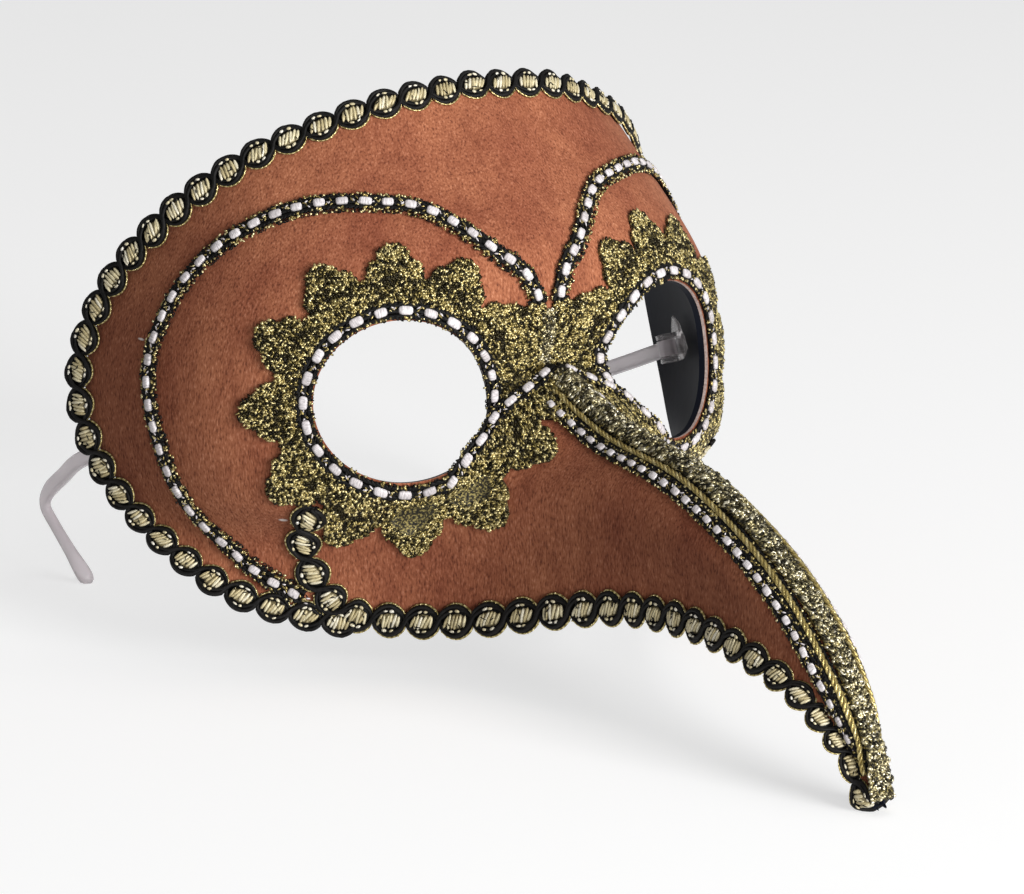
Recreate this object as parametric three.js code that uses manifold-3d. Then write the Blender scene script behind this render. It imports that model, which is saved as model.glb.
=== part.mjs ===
// Beak mask: a moulded half mask under velour, with braids, lace and two spectacle arms.
// Millimetres. Shapes are given from the bridge of the nose: +X to the wearer's left, +Y towards
// the wearer and +Z up, as the mask stands on the tip of its beak and its two ear hooks.

import * as THREE from 'three';
import Module from 'manifold-3d';
import { mergeVertices } from 'three/addons/utils/BufferGeometryUtils.js';

const wasm = await Module();
wasm.setup();

// Sizes. The gap is what separate pieces keep from each other.

const GAP = 0.3;
const ON_CLOTH = 1;
const EDGE_RISE = 0.9;
const HUGS_FROM = 0.8;
const HUGS_TO = 9.3;
const SHELL_WALL = 1.4;
const VELOUR_THICK = 0.8;
const TIP_THINNING = 0.3;
const THINNING_FROM = 8.6;

const HOLE_HALF_WIDTH = 20.4;
const HOLE_HALF_HEIGHT = 18.6;
const HOLE_OUT = -0.6;
const HOLE_UP = 0.3;
const CUTTER_DEPTH = 60;

const BRAID_WIDTH = 4.4;
const BRAID_THICK = 1.3;
const BRAID_STEP = 6;
const GIMP_WIDTH = 7.6;
const GIMP_NECK = 5.6;
const GIMP_PITCH = 7.95;
const GIMP_THICK = 2.0;
const RIM_FLARE = 0.4;
const FLARE_BEGINS = [1.2, 2.6];
const FLARE_ENDS = [5.2, 6.2];
const TIP_GIMP_WIDTH = 6.0;
const TIP_TURN_X = 2.4;
const TIP_TURN_RISE = 0.45;
const TIP_TURN_TILT = 0.3;
const TIP_UNDER = [0, -117.8, -71.6];
const TIP_FACES = [-0.5, -0.87];

const LACE_THICK = 1.0;
const LACE_ON_CLOTH = 1.3;
const LACE_VALLEY = 30.6;
const LACE_POINT = 36.4;
const LACE_POINT_HALF_DEG = 13;
const LACE_POINT_CURVE = 1.4;
const LACE_POINTS_DEG = [-2, 29, 60, 90, 119, 147, 173, 199, 233, 264, 294, 325];

const CORD_RADIUS = 1.1;
const CORD_STEP = 6.5;
const CORD_FROM_RIDGE = 4.0;
const SIDE_BRAID_FROM_RIDGE = 8.1;
const RIDGE_LACE_WIDTH = 4.8;
const RIDGE_LACE_THICK = 1.2;
const RIDGE_LACE_SHOULDER = 0.3;

const ARM_TALL = 4.0;
const ARM_THICK = 2.6;
const ARM_TIP = 4.0;
const PIN_RADIUS = 0.9;
const BARREL_RADIUS = 2.4;
const PLATE_TALL = 12;
const PLATE_WIDE = 8;
const PLATE_THICK = 1.5;
const LUG_THICK = 1.3;
const LUG_ROOT = 0.5;
const PIN_CLEAR = 0.5;
const PLATE_BELLY = [0.7, 1.4];
const ARM_DROP_DEG = 21.8;
const ARM_STEPS = 16;
const ARM_SIDES = 8;
const ARM_ROUNDING = 1.08;

// Along the arm, from 0 at the hinge to 1 at the end of the hook.
const ARM_SLIM = 0.22;
const SLIM_RUN = [0.7, 0.96];
const SWELL_RUN = [0.9, 0.96];
const ROUND_FROM = 0.975;
const ROUND_RUN = 0.028;
const END_FLAT = 0.2;

// The wearer's left arm stands open by this much more than the right one.
const LEFT_ARM_WIDER_DEG = 9;

// The surface it stands on, and the middle of its whole depth.
const FLOOR_Z = -73.1;
const MIDDLE_Y = 8.9;

// The facets of the face.
const AROUND_SKIN = 21;
const ACROSS_SKIN = 6;
const MIDDLE_CROWDING = 1.15;

// The face surface.

// Lines across the wearer's right half, from the forehead down to the tip of the beak. Each has
// its point on the middle line, two handles and its point on the rim.
const LINES = [
  [[0, 39.5, 60], [0, 39.5, 60], [0, 39.5, 60], [0, 39.5, 60]],
  [[0, 23.5, 41], [-13.5, 24.5, 40], [-22, 32.5, 44], [-26.5, 42.5, 56.5]],
  [[0, 11, 26], [-31.5, 12.5, 25], [-49.5, 29.5, 29.5], [-54, 57.5, 42.5]],
  [[0, 7.5, 12], [-47.5, 7, 11.5], [-71, 29, 12.5], [-73, 76.5, 17]],
  [[0, 9.5, 0], [-51.5, 6, -6], [-78.5, 28, -10.5], [-81.5, 81.5, -9.5]],
  [[0, 2, -2], [-43, -1, -24], [-68, 21.5, -33], [-78.5, 68, -33.5]],
  [[0, -23.5, -9.5], [-22, -10.5, -19], [-33.5, 18, -38], [-64.5, 39.5, -52.5]],
  [[0, -61, -15.5], [-14.5, -40, -13.5], [-14, -8, -33.5], [-30, 9, -58]],
  [[0, -94, -33], [-12.5, -74.5, -19.5], [-8, -52.5, -30.5], [-10, -45, -45]],
  [[0, -114.5, -55], [-9, -103, -39.5], [-6, -93.5, -41.5], [-8.5, -95, -47.5]],
  [[0, -120, -71], [0, -120, -71], [0, -120, -71], [0, -120, -71]],
];
const LAST_LINE = LINES.length - 1;

function vec(p) {
  return new THREE.Vector3(p[0], p[1], p[2]);
}

function mirrorPoint(p) {
  return new THREE.Vector3(-p.x, p.y, p.z);
}

// A smooth curve through points of any length, where t counts the points.
function smoothThrough(points, t) {
  const last = points.length - 1;
  const i = Math.min(Math.max(Math.floor(t), 0), last - 1);
  const f = t - i;
  const at = (k, axis) => {
    if (k < 0) return 2 * points[0][axis] - points[1][axis];
    if (k > last) return 2 * points[last][axis] - points[last - 1][axis];
    return points[k][axis];
  };
  return points[0].map((_, axis) => {
    const a = at(i - 1, axis);
    const b = at(i, axis);
    const c = at(i + 1, axis);
    const d = at(i + 2, axis);
    return 0.5 * (2 * b + (c - a) * f + (2 * a - 5 * b + 4 * c - d) * f * f
      + (3 * b - a - 3 * c + d) * f * f * f);
  });
}

// A point on the face: u counts the lines, v runs from the middle (0) to the rim (1), and a
// negative v is the wearer's left half.
function facePoint(u, v) {
  const w = Math.abs(v);
  const weights = [(1 - w) ** 3, 3 * w * (1 - w) ** 2, 3 * w * w * (1 - w), w ** 3];
  const sum = new THREE.Vector3();
  weights.forEach((weight, k) => {
    sum.addScaledVector(vec(smoothThrough(LINES.map((line) => line[k]), u)), weight);
  });
  if (v < 0) sum.x = -sum.x;
  return sum;
}

function faceSlopes(u, v) {
  const step = 0.004;
  const uu = Math.min(Math.max(u, 0.06), LAST_LINE - 0.06);
  const along = facePoint(uu + step, v).sub(facePoint(uu - step, v)).divideScalar(2 * step);
  const across = facePoint(uu, v + step).sub(facePoint(uu, v - step)).divideScalar(2 * step);
  return { along, across };
}

function faceNormal(u, v) {
  const { along, across } = faceSlopes(u, v);
  const normal = new THREE.Vector3().crossVectors(across, along);
  if (v === 0) normal.x = 0;
  return normal.normalize();
}

function lifted(u, v, lift) {
  return facePoint(u, v).addScaledVector(faceNormal(u, v), lift);
}

// Solids from points.

function solidFrom(points, faces) {
  const geometry = new THREE.BufferGeometry();
  const flat = faces.flatMap((face) => face.flatMap((i) => points[i].toArray()));
  geometry.setAttribute('position', new THREE.Float32BufferAttribute(flat, 3));
  return toManifold(geometry);
}

function toManifold(source) {
  const bare = source.clone();
  bare.deleteAttribute('normal');
  bare.deleteAttribute('uv');
  const merged = mergeVertices(bare, 1e-4);
  const mesh = new wasm.Mesh({
    numProp: 3,
    vertProperties: new Float32Array(merged.attributes.position.array),
    triVerts: new Uint32Array(merged.index.array),
  });
  return new wasm.Manifold(mesh);
}

function toGeometry(manifold) {
  const mesh = manifold.getMesh();
  const geometry = new THREE.BufferGeometry();
  geometry.setAttribute('position', new THREE.BufferAttribute(mesh.vertProperties, 3));
  geometry.setIndex(new THREE.BufferAttribute(mesh.triVerts, 1));
  geometry.computeVertexNormals();
  return geometry;
}

function mirrorSolid(solid) {
  const geometry = toGeometry(solid);
  geometry.scale(-1, 1, 1);
  geometry.index.array.reverse();
  return toManifold(geometry);
}

// The columns of the face's grid, closer together along the middle.
function acrossPlace(j) {
  const t = j / ACROSS_SKIN - 1;
  return -Math.sign(t) * Math.abs(t) ** MIDDLE_CROWDING;
}

// A layer of even thickness over the whole face, thinner towards the tip of the beak.
function skin(outerLift, innerLift) {
  const points = [];
  const faces = [];
  const rows = AROUND_SKIN;
  const columns = 2 * ACROSS_SKIN;
  const ring = (lift) => {
    const grid = [];
    for (let i = 0; i <= rows; i += 1) {
      const u = (LAST_LINE * i) / rows;
      const thinning = THREE.MathUtils.smoothstep(u, THINNING_FROM, LAST_LINE);
      const own = lift * (1 - (1 - TIP_THINNING) * thinning);
      if (i === 0 || i === rows) {
        points.push(lifted(u, 0, own));
        grid.push(new Array(columns + 1).fill(points.length - 1));
        continue;
      }
      const row = [];
      for (let j = 0; j <= columns; j += 1) {
        points.push(lifted(u, acrossPlace(j), own));
        row.push(points.length - 1);
      }
      grid.push(row);
    }
    return grid;
  };
  const triangle = (a, b, c) => {
    if (a !== b && b !== c && a !== c) faces.push([a, b, c]);
  };
  const quad = (a, b, c, d) => {
    triangle(a, c, b);
    triangle(a, d, c);
  };
  const outer = ring(outerLift);
  const inner = ring(innerLift);
  for (let i = 0; i < rows; i += 1) {
    for (let j = 0; j < columns; j += 1) {
      const [o, p] = [outer[i], outer[i + 1]];
      const [q, r] = [inner[i], inner[i + 1]];
      if (j < ACROSS_SKIN) {
        quad(o[j], o[j + 1], p[j + 1], p[j]);
        quad(q[j], r[j], r[j + 1], q[j + 1]);
      } else {
        quad(o[j + 1], p[j + 1], p[j], o[j]);
        quad(q[j + 1], q[j], r[j], r[j + 1]);
      }
    }
    quad(outer[i][0], outer[i + 1][0], inner[i + 1][0], inner[i][0]);
    quad(outer[i + 1][columns], outer[i][columns], inner[i][columns], inner[i + 1][columns]);
  }
  return solidFrom(points, faces);
}

// Joins sections, each a ring of the same number of points, into one closed solid.
function joinSections(sections, closed) {
  const count = sections[0].length;
  const points = sections.flat();
  const faces = [];
  const links = closed ? sections.length : sections.length - 1;
  for (let i = 0; i < links; i += 1) {
    const here = i * count;
    const next = ((i + 1) % sections.length) * count;
    for (let k = 0; k < count; k += 1) {
      const k2 = (k + 1) % count;
      faces.push([here + k, next + k, next + k2], [here + k, next + k2, here + k2]);
    }
  }
  if (!closed) {
    const end = (sections.length - 1) * count;
    for (let k = 1; k < count - 1; k += 1) {
      faces.push([0, k, k + 1], [end, end + k + 1, end + k]);
    }
  }
  return solidFrom(points, faces);
}

// The cloth's outer face is made of flat facets, and what lies on the cloth lies on these.
const CLOTH = [];
for (let i = 0; i <= AROUND_SKIN; i += 1) {
  CLOTH.push([]);
  for (let j = 0; j <= 2 * ACROSS_SKIN; j += 1) {
    CLOTH[i].push(facePoint((LAST_LINE * i) / AROUND_SKIN, acrossPlace(j)));
  }
}

function onCloth(u, v, height) {
  if (v < 0) return mirrorPoint(onCloth(u, -v, height));
  const row = (u / LAST_LINE) * AROUND_SKIN;
  const column = (1 - v ** (1 / MIDDLE_CROWDING)) * ACROSS_SKIN;
  const i = THREE.MathUtils.clamp(Math.floor(row), 0, AROUND_SKIN - 1);
  const j = THREE.MathUtils.clamp(Math.floor(column), 0, ACROSS_SKIN - 1);
  const down = row - i;
  const over = column - j;
  const [a, b, c, d] = [CLOTH[i][j], CLOTH[i][j + 1], CLOTH[i + 1][j + 1], CLOTH[i + 1][j]];
  const corner = over > down ? b : d;
  const point = a.clone();
  point.addScaledVector(corner.clone().sub(a), over > down ? over : down);
  point.addScaledVector(c.clone().sub(corner), over > down ? down : over);
  return point.addScaledVector(faceNormal(u, v), height);
}

// Braid and cord laid on the face.

// Even steps along a line that is given by its points in u and v.
function evenSteps(line, step, closed = false) {
  const fine = [];
  const parts = (line.length - 1) * 24;
  for (let i = 0; i <= parts; i += 1) {
    const uv = smoothThrough(line, ((line.length - 1) * i) / parts);
    fine.push({ uv, at: facePoint(uv[0], uv[1]) });
  }
  const lengths = [0];
  for (let i = 1; i < fine.length; i += 1) {
    lengths.push(lengths[i - 1] + fine[i].at.distanceTo(fine[i - 1].at));
  }
  const total = lengths[lengths.length - 1];
  const count = Math.max(2, Math.round(total / step));
  const places = [];
  for (let n = 0; n <= count - (closed ? 1 : 0); n += 1) {
    const wanted = (total * n) / count;
    let i = 1;
    while (i < lengths.length - 1 && lengths[i] < wanted) i += 1;
    const f = (wanted - lengths[i - 1]) / (lengths[i] - lengths[i - 1]);
    places.push([0, 1].map((k) => fine[i - 1].uv[k] + f * (fine[i].uv[k] - fine[i - 1].uv[k])));
  }
  return places;
}

// The place reached from a place on the face by going a distance square to a direction.
function stepAside(place, tangent, distance) {
  let [u, v] = place;
  const steps = Math.max(1, Math.ceil(Math.abs(distance)));
  for (let n = 0; n < steps; n += 1) {
    const { along, across } = faceSlopes(u, v);
    const normal = new THREE.Vector3().crossVectors(across, along);
    const side = normal.cross(tangent).normalize().multiplyScalar(distance / steps);
    const aa = along.dot(along);
    const bb = across.dot(across);
    const ab = along.dot(across);
    const det = aa * bb - ab * ab;
    u += (side.dot(along) * bb - side.dot(across) * ab) / det;
    v += (side.dot(across) * aa - side.dot(along) * ab) / det;
  }
  return [u, v];
}

// The sections of a strip over even places. The section lists [side, height] pairs for the place's
// number, and turns clockwise seen along the strip.
function stripSections(places, section, { closed = false, hug = true } = {}) {
  const count = places.length;
  return places.map((place, n) => {
    const before = closed ? (n + count - 1) % count : Math.max(n - 1, 0);
    const after = closed ? (n + 1) % count : Math.min(n + 1, count - 1);
    const tangent = facePoint(...places[after]).sub(facePoint(...places[before])).normalize();
    const side = new THREE.Vector3().crossVectors(faceNormal(...place), tangent).normalize();
    const hugs = hug && place[0] > HUGS_FROM && place[0] < HUGS_TO;
    return section(n).map(([s, h]) => (hugs
      ? onCloth(...stepAside(place, tangent, s), h)
      : onCloth(...place, h + EDGE_RISE).addScaledVector(side, s)));
  });
}

function strip(places, section, options = {}) {
  return joinSections(stripSections(places, section, options), options.closed);
}

function flatSection(width, thick, low = ON_CLOTH) {
  const half = width / 2;
  return [[-half, low], [-half, low + thick], [half, low + thick], [half, low]];
}

function roundSection(radius, sides, spare = 0) {
  const section = [];
  for (let k = 0; k < sides; k += 1) {
    const turn = (-2 * Math.PI * k) / sides;
    const reach = radius + spare;
    section.push([reach * Math.cos(turn), ON_CLOTH + radius + reach * Math.sin(turn)]);
  }
  return section;
}

// Sections of the right half, then the same on the left half, back to the start.
function bothSides(sections, between = []) {
  const left = sections.map((section) => section.map(mirrorPoint)).reverse();
  return [...sections, ...between, ...left];
}

// The eye.

// A flat chart stands before the right eye: `out` runs to the temple and `up` to the forehead.
const EYE = {
  centre: new THREE.Vector3(-37.3, 12.5, -5.7),
  normal: new THREE.Vector3(-0.39, -0.903, 0.18).normalize(),
};
EYE.up = new THREE.Vector3(0, 0, 1).addScaledVector(EYE.normal, -EYE.normal.z).normalize();
EYE.out = new THREE.Vector3().crossVectors(EYE.normal, EYE.up).normalize();
if (EYE.out.x > 0) EYE.out.negate();

function chartPoint(a, b) {
  return EYE.centre.clone().addScaledVector(EYE.out, a).addScaledVector(EYE.up, b);
}

// A first guess of the place on the face behind a chart point: millimetres to one of u and of v.
const CHART_START = { u: 4.2, perU: 16, v: 0.33, perV: 95 };

// The place on the face straight behind a point of the chart.
function chartPlace(a, b) {
  const target = chartPoint(a, b);
  let u = CHART_START.u - b / CHART_START.perU;
  let v = CHART_START.v + a / CHART_START.perV;
  for (let n = 0; n < 12; n += 1) {
    const miss = target.clone().sub(facePoint(u, v));
    const { along, across } = faceSlopes(u, v);
    const pull = new THREE.Matrix3().set(
      along.x, across.x, EYE.normal.x,
      along.y, across.y, EYE.normal.y,
      along.z, across.z, EYE.normal.z,
    );
    miss.applyMatrix3(pull.invert());
    u += THREE.MathUtils.clamp(miss.x, -0.5, 0.5);
    v = Math.max(v + THREE.MathUtils.clamp(miss.y, -0.1, 0.1), 0.01);
  }
  return [u, v];
}

function eyeHoleCutter(mirror) {
  const shape = new THREE.Shape();
  shape.absellipse(HOLE_OUT, HOLE_UP, HOLE_HALF_WIDTH, HOLE_HALF_HEIGHT, 0, 2 * Math.PI, false, 0);
  const form = { depth: CUTTER_DEPTH, bevelEnabled: false, curveSegments: 13 };
  const cutter = new THREE.ExtrudeGeometry(shape, form);
  cutter.translate(0, 0, -CUTTER_DEPTH / 2);
  const right = new THREE.Vector3().crossVectors(EYE.up, EYE.normal);
  cutter.applyMatrix4(new THREE.Matrix4().makeBasis(right, EYE.up, EYE.normal));
  cutter.translate(...EYE.centre.toArray());
  const solid = toManifold(cutter);
  return mirror ? mirrorSolid(solid) : solid;
}

const RING_OFFSET = BRAID_WIDTH / 2 + 0.2;
const RING_STEPS = 30;

function eyeRing() {
  const places = [];
  for (let k = 0; k < RING_STEPS; k += 1) {
    const turn = (-2 * Math.PI * k) / RING_STEPS;
    const a = HOLE_OUT + (HOLE_HALF_WIDTH + RING_OFFSET) * Math.cos(turn);
    const b = HOLE_UP + (HOLE_HALF_HEIGHT + RING_OFFSET) * Math.sin(turn);
    places.push(chartPlace(a, b));
  }
  return places;
}

// How far the lace reaches from the eye's centre, in points with hollows between them.
function laceReach(degrees) {
  let nearest = 180;
  LACE_POINTS_DEG.forEach((tip) => {
    const apart = Math.abs(((degrees - tip + 540) % 360) - 180);
    nearest = Math.min(nearest, apart);
  });
  const share = Math.min(nearest / LACE_POINT_HALF_DEG, 1);
  return LACE_POINT - (LACE_POINT - LACE_VALLEY) * share ** LACE_POINT_CURVE;
}

function eyeLaceSolid() {
  const sections = [];
  const inner = RING_OFFSET + BRAID_WIDTH / 2 + GAP;
  LACE_POINTS_DEG.forEach((tip, k) => {
    const next = LACE_POINTS_DEG[k + 1] ?? LACE_POINTS_DEG[0] + 360;
    [0, 0.3, 0.7].forEach((share) => {
      const degrees = tip + (next - tip) * share;
      const turn = THREE.MathUtils.degToRad(degrees);
      const reach = laceReach(degrees);
      const start = [
        HOLE_OUT + (HOLE_HALF_WIDTH + inner) * Math.cos(turn),
        HOLE_UP + (HOLE_HALF_HEIGHT + inner) * Math.sin(turn),
      ];
      const end = [reach * Math.cos(turn), reach * Math.sin(turn)];
      const middle = [(start[0] + end[0]) / 2, (start[1] + end[1]) / 2];
      const places = [start, middle, end].map(([a, b]) => chartPlace(a, b));
      sections.push([
        ...places.map(([u, v]) => onCloth(u, v, LACE_ON_CLOTH + LACE_THICK)),
        ...places.reverse().map(([u, v]) => onCloth(u, v, LACE_ON_CLOTH)),
      ]);
    });
  });
  return joinSections(sections, true);
}

// Where the trimmings run, in u and v on the right half.

const BROW_LINE = [
  [2.86, 0.02], [2.6, 0.03], [2.35, 0.048], [2.1, 0.092], [1.68, 0.23], [1.48, 0.42], [1.58, 0.6],
  [1.9, 0.76], [2.48, 0.84], [3.4, 0.84], [4.25, 0.82], [4.9, 0.84], [5.5, 0.885], [5.9, 0.925],
];
const TAIL_LINE = [[4.93, 0.17], [4.9, 0.1], [4.9, 0.05], [4.9, 0.026]];

// A line along the ridge of the beak, a distance to the wearer's right of it.
function ridgeLine(from, to, distance, tipDistance) {
  const line = [];
  for (let n = 0; n <= 12; n += 1) {
    const u = from + ((to - from) * n) / 12;
    const closing = THREE.MathUtils.smoothstep(u, 8.4, 9.4);
    const ridgeTangent = facePoint(u + 0.05, 0).sub(facePoint(u - 0.05, 0)).normalize();
    line.push(stepAside([u, 0.001], ridgeTangent, -THREE.MathUtils.lerp(distance, tipDistance, closing)));
  }
  return line;
}

const BEAK_SIDE_LINE = ridgeLine(5.4, 8.8, SIDE_BRAID_FROM_RIDGE, SIDE_BRAID_FROM_RIDGE - 0.4);
const RIDGE_CORD_LINE = ridgeLine(5.2, 9.35, CORD_FROM_RIDGE, CORD_FROM_RIDGE - 0.6);
const RIDGE_LACE_LINE = [[3.15, 0], [4, 0], [5.12, 0], [7, 0], [8.5, 0], [9.6, 0]];
const RIM_LINE = [[6.45, 1], [5, 1], [4, 1], [3, 1], [2, 1], [1, 1], [0, 1]];
const BEAK_EDGE_LINE = [
  [5.28, 0.63], [5.68, 0.76], [6.08, 0.87], [6.38, 0.95], [6.65, 1], [7.2, 1], [8, 1], [9, 1], [9.7, 1],
];

// The moulded shell and the cloth over it.

const SHELL_TOP = -(VELOUR_THICK + GAP);
const holes = [false, true].map(eyeHoleCutter);

function faceLayer(outerLift, innerLift) {
  return skin(outerLift, innerLift).subtract(holes[0]).subtract(holes[1]);
}

const velour = faceLayer(0, -VELOUR_THICK);
const shell = faceLayer(SHELL_TOP, SHELL_TOP - SHELL_WALL);

// The room that cloth and wall take together, with a gap on both sides.
const faceRoom = skin(GAP, SHELL_TOP - SHELL_WALL - GAP);

// Each trimming can be made a gap larger, to cut what lies next to it.
function narrowBraid(line, spare = 0) {
  const section = flatSection(BRAID_WIDTH + 2 * spare, BRAID_THICK + 2 * spare, ON_CLOTH - spare);
  section.push([0, ON_CLOTH - spare]);
  return strip(evenSteps(line, BRAID_STEP), () => section);
}

function gimpSection(n, spare, width = GIMP_WIDTH) {
  const across = n % 2 ? width : (width * GIMP_NECK) / GIMP_WIDTH;
  return flatSection(across + 2 * spare, GIMP_THICK + 2 * spare, ON_CLOTH - spare);
}

function gimpSections(line, spare) {
  const places = evenSteps(line, GIMP_PITCH / 2);
  return stripSections(places, (n) => gimpSection(n, spare));
}

// Round the temples the rim braid stands off the face towards its outer edge.
function rimBraid(spare = 0) {
  const places = evenSteps(RIM_LINE, GIMP_PITCH / 2);
  const sections = stripSections(places, (n) => {
    const u = places[n][0];
    const flare = RIM_FLARE * THREE.MathUtils.smoothstep(u, ...FLARE_BEGINS)
      * (1 - THREE.MathUtils.smoothstep(u, ...FLARE_ENDS));
    return gimpSection(n, spare).map(([s, h]) => [s, h + flare * (s + GIMP_WIDTH / 2)]);
  });
  return joinSections(bothSides(sections.slice(0, -1)), false);
}

// Under the tip of the beak the braid turns from one side to the other.
function tipSections(spare) {
  return [-TIP_TURN_X, 0, TIP_TURN_X].map((x, n) => {
    const centre = vec(TIP_UNDER).setX(x);
    centre.z += Math.abs(x) * TIP_TURN_RISE;
    const normal = new THREE.Vector3(x * TIP_TURN_TILT, ...TIP_FACES).normalize();
    const along = new THREE.Vector3(1, 0, x * TIP_TURN_TILT);
    const side = new THREE.Vector3().crossVectors(normal, along).normalize();
    return gimpSection(n, spare, TIP_GIMP_WIDTH).map(([s, h]) => (
      centre.clone().addScaledVector(side, s).addScaledVector(normal, h)));
  });
}

function beakBraid(spare = 0) {
  const right = gimpSections(BEAK_EDGE_LINE, spare);
  return joinSections(bothSides(right, tipSections(spare)), false);
}

function eyeBraid(spare = 0) {
  const section = flatSection(BRAID_WIDTH + 2 * spare, BRAID_THICK + 2 * spare, ON_CLOTH - spare);
  return strip(eyeRing(), () => section, { closed: true }).add(narrowBraid(TAIL_LINE, spare));
}

function ridgeCord(spare = 0) {
  const places = evenSteps(RIDGE_CORD_LINE, CORD_STEP);
  return strip(places, () => roundSection(CORD_RADIUS, 6, spare));
}

function ridgeLace(spare = 0) {
  const places = evenSteps(RIDGE_LACE_LINE, CORD_STEP);
  const half = RIDGE_LACE_WIDTH / 2 + spare;
  const top = ON_CLOTH + RIDGE_LACE_THICK + spare;
  const low = ON_CLOTH - spare;
  const shoulder = top - RIDGE_LACE_SHOULDER;
  const section = [[-half, low], [-half, shoulder], [0, top], [half, shoulder], [half, low], [0, low]];
  return strip(places, () => section);
}

// The spectacle arm and its hinge, on the wearer's right.

const HINGE_PLACE = [4.28, 0.865];
const PLATE_LIFT = SHELL_TOP - SHELL_WALL - GAP;
const PIN_LIFT = PLATE_LIFT - PLATE_THICK - BARREL_RADIUS - PIN_CLEAR;

const pinAxis = new THREE.Vector3(0, Math.sin(THREE.MathUtils.degToRad(ARM_DROP_DEG)),
  Math.cos(THREE.MathUtils.degToRad(ARM_DROP_DEG)));
const wallNormal = faceNormal(...HINGE_PLACE);
const plateNormal = wallNormal.clone().addScaledVector(pinAxis, -wallNormal.dot(pinAxis)).normalize();
const plateSide = new THREE.Vector3().crossVectors(pinAxis, plateNormal);
const wallPoint = facePoint(...HINGE_PLACE);
const pinPoint = wallPoint.clone().addScaledVector(plateNormal, PIN_LIFT);

// From the hinge's own axes (x along the wall, y along the pin, z away from the face) to the mask.
function atHinge(geometry, origin) {
  geometry.applyMatrix4(new THREE.Matrix4().makeBasis(plateSide, pinAxis, plateNormal));
  geometry.translate(...origin.toArray());
  return toManifold(geometry);
}

function pinCylinder(radius, length, segments = 10) {
  return atHinge(new THREE.CylinderGeometry(radius, radius, length, segments), pinPoint);
}

function hingePlate() {
  const tear = new THREE.Shape();
  const half = PLATE_WIDE / 2;
  const [bellyOut, bellyUp] = PLATE_BELLY;
  tear.moveTo(0, PLATE_TALL - half);
  tear.quadraticCurveTo(half * bellyOut, half * bellyUp, half, 0);
  tear.absarc(0, 0, half, 0, -Math.PI, true);
  tear.quadraticCurveTo(-half * bellyOut, half * bellyUp, 0, PLATE_TALL - half);
  const plateForm = { depth: PLATE_THICK, bevelEnabled: false, curveSegments: 5 };
  const plate = new THREE.ExtrudeGeometry(tear, plateForm);
  let solid = atHinge(plate, wallPoint.clone().addScaledVector(plateNormal, PLATE_LIFT - PLATE_THICK));
  const reach = PLATE_LIFT - PLATE_THICK - PIN_LIFT;
  [1, -1].forEach((end) => {
    const lug = new THREE.Shape();
    lug.moveTo(-BARREL_RADIUS, reach + LUG_ROOT);
    lug.lineTo(-BARREL_RADIUS, 0);
    lug.absarc(0, 0, BARREL_RADIUS, Math.PI, 2 * Math.PI, false);
    lug.lineTo(BARREL_RADIUS, reach + LUG_ROOT);
    const ear = new THREE.ExtrudeGeometry(lug, { depth: LUG_THICK, bevelEnabled: false, curveSegments: 4 });
    ear.translate(0, 0, -LUG_THICK / 2);
    ear.rotateX(Math.PI / 2);
    ear.translate(0, end * (ARM_TALL / 2 + GAP + LUG_THICK / 2), 0);
    solid = solid.add(atHinge(ear, pinPoint));
  });
  const pin = pinCylinder(PIN_RADIUS, ARM_TALL + 2 * GAP + LUG_THICK, 8);
  return solid.add(pin).subtract(faceRoom);
}

// The arm runs back from the pin, droops a little, then hooks down round the ear.
const ARM_LINE = [
  [-70.6, 64.6, -18.6], [-68.8, 88, -27.8], [-66.8, 112.3, -37], [-64.9, 125.7, -44.4],
  [-63.3, 136.6, -51], [-62.7, 139.8, -55.6], [-61.6, 137.2, -60], [-60, 131.6, -66.4], [-58, 125.6, -73.6],
];

// How much thinner the arm is before its hook, thicker in its end drop and rounded at its end.
function armGirth(t) {
  const along = THREE.MathUtils.clamp((t - SLIM_RUN[0]) / (SLIM_RUN[1] - SLIM_RUN[0]), 0, 1);
  const slim = 1 - ARM_SLIM * Math.sin(Math.PI * along);
  const past = Math.max(t - ROUND_FROM, 0) / ROUND_RUN;
  const round = Math.max(Math.sqrt(Math.max(1 - past ** 2, 0)), END_FLAT);
  return { swell: THREE.MathUtils.smoothstep(t, ...SWELL_RUN), girth: slim * round };
}

// Turned open about its pin by an angle beyond the one it is drawn at.
function openedAt(solid, degrees) {
  const away = new THREE.Matrix4().makeTranslation(pinPoint.clone().negate());
  const turn = new THREE.Matrix4().makeRotationAxis(pinAxis, THREE.MathUtils.degToRad(degrees));
  const home = new THREE.Matrix4().makeTranslation(pinPoint);
  return solid.transform(home.multiply(turn).multiply(away).elements);
}

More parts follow.
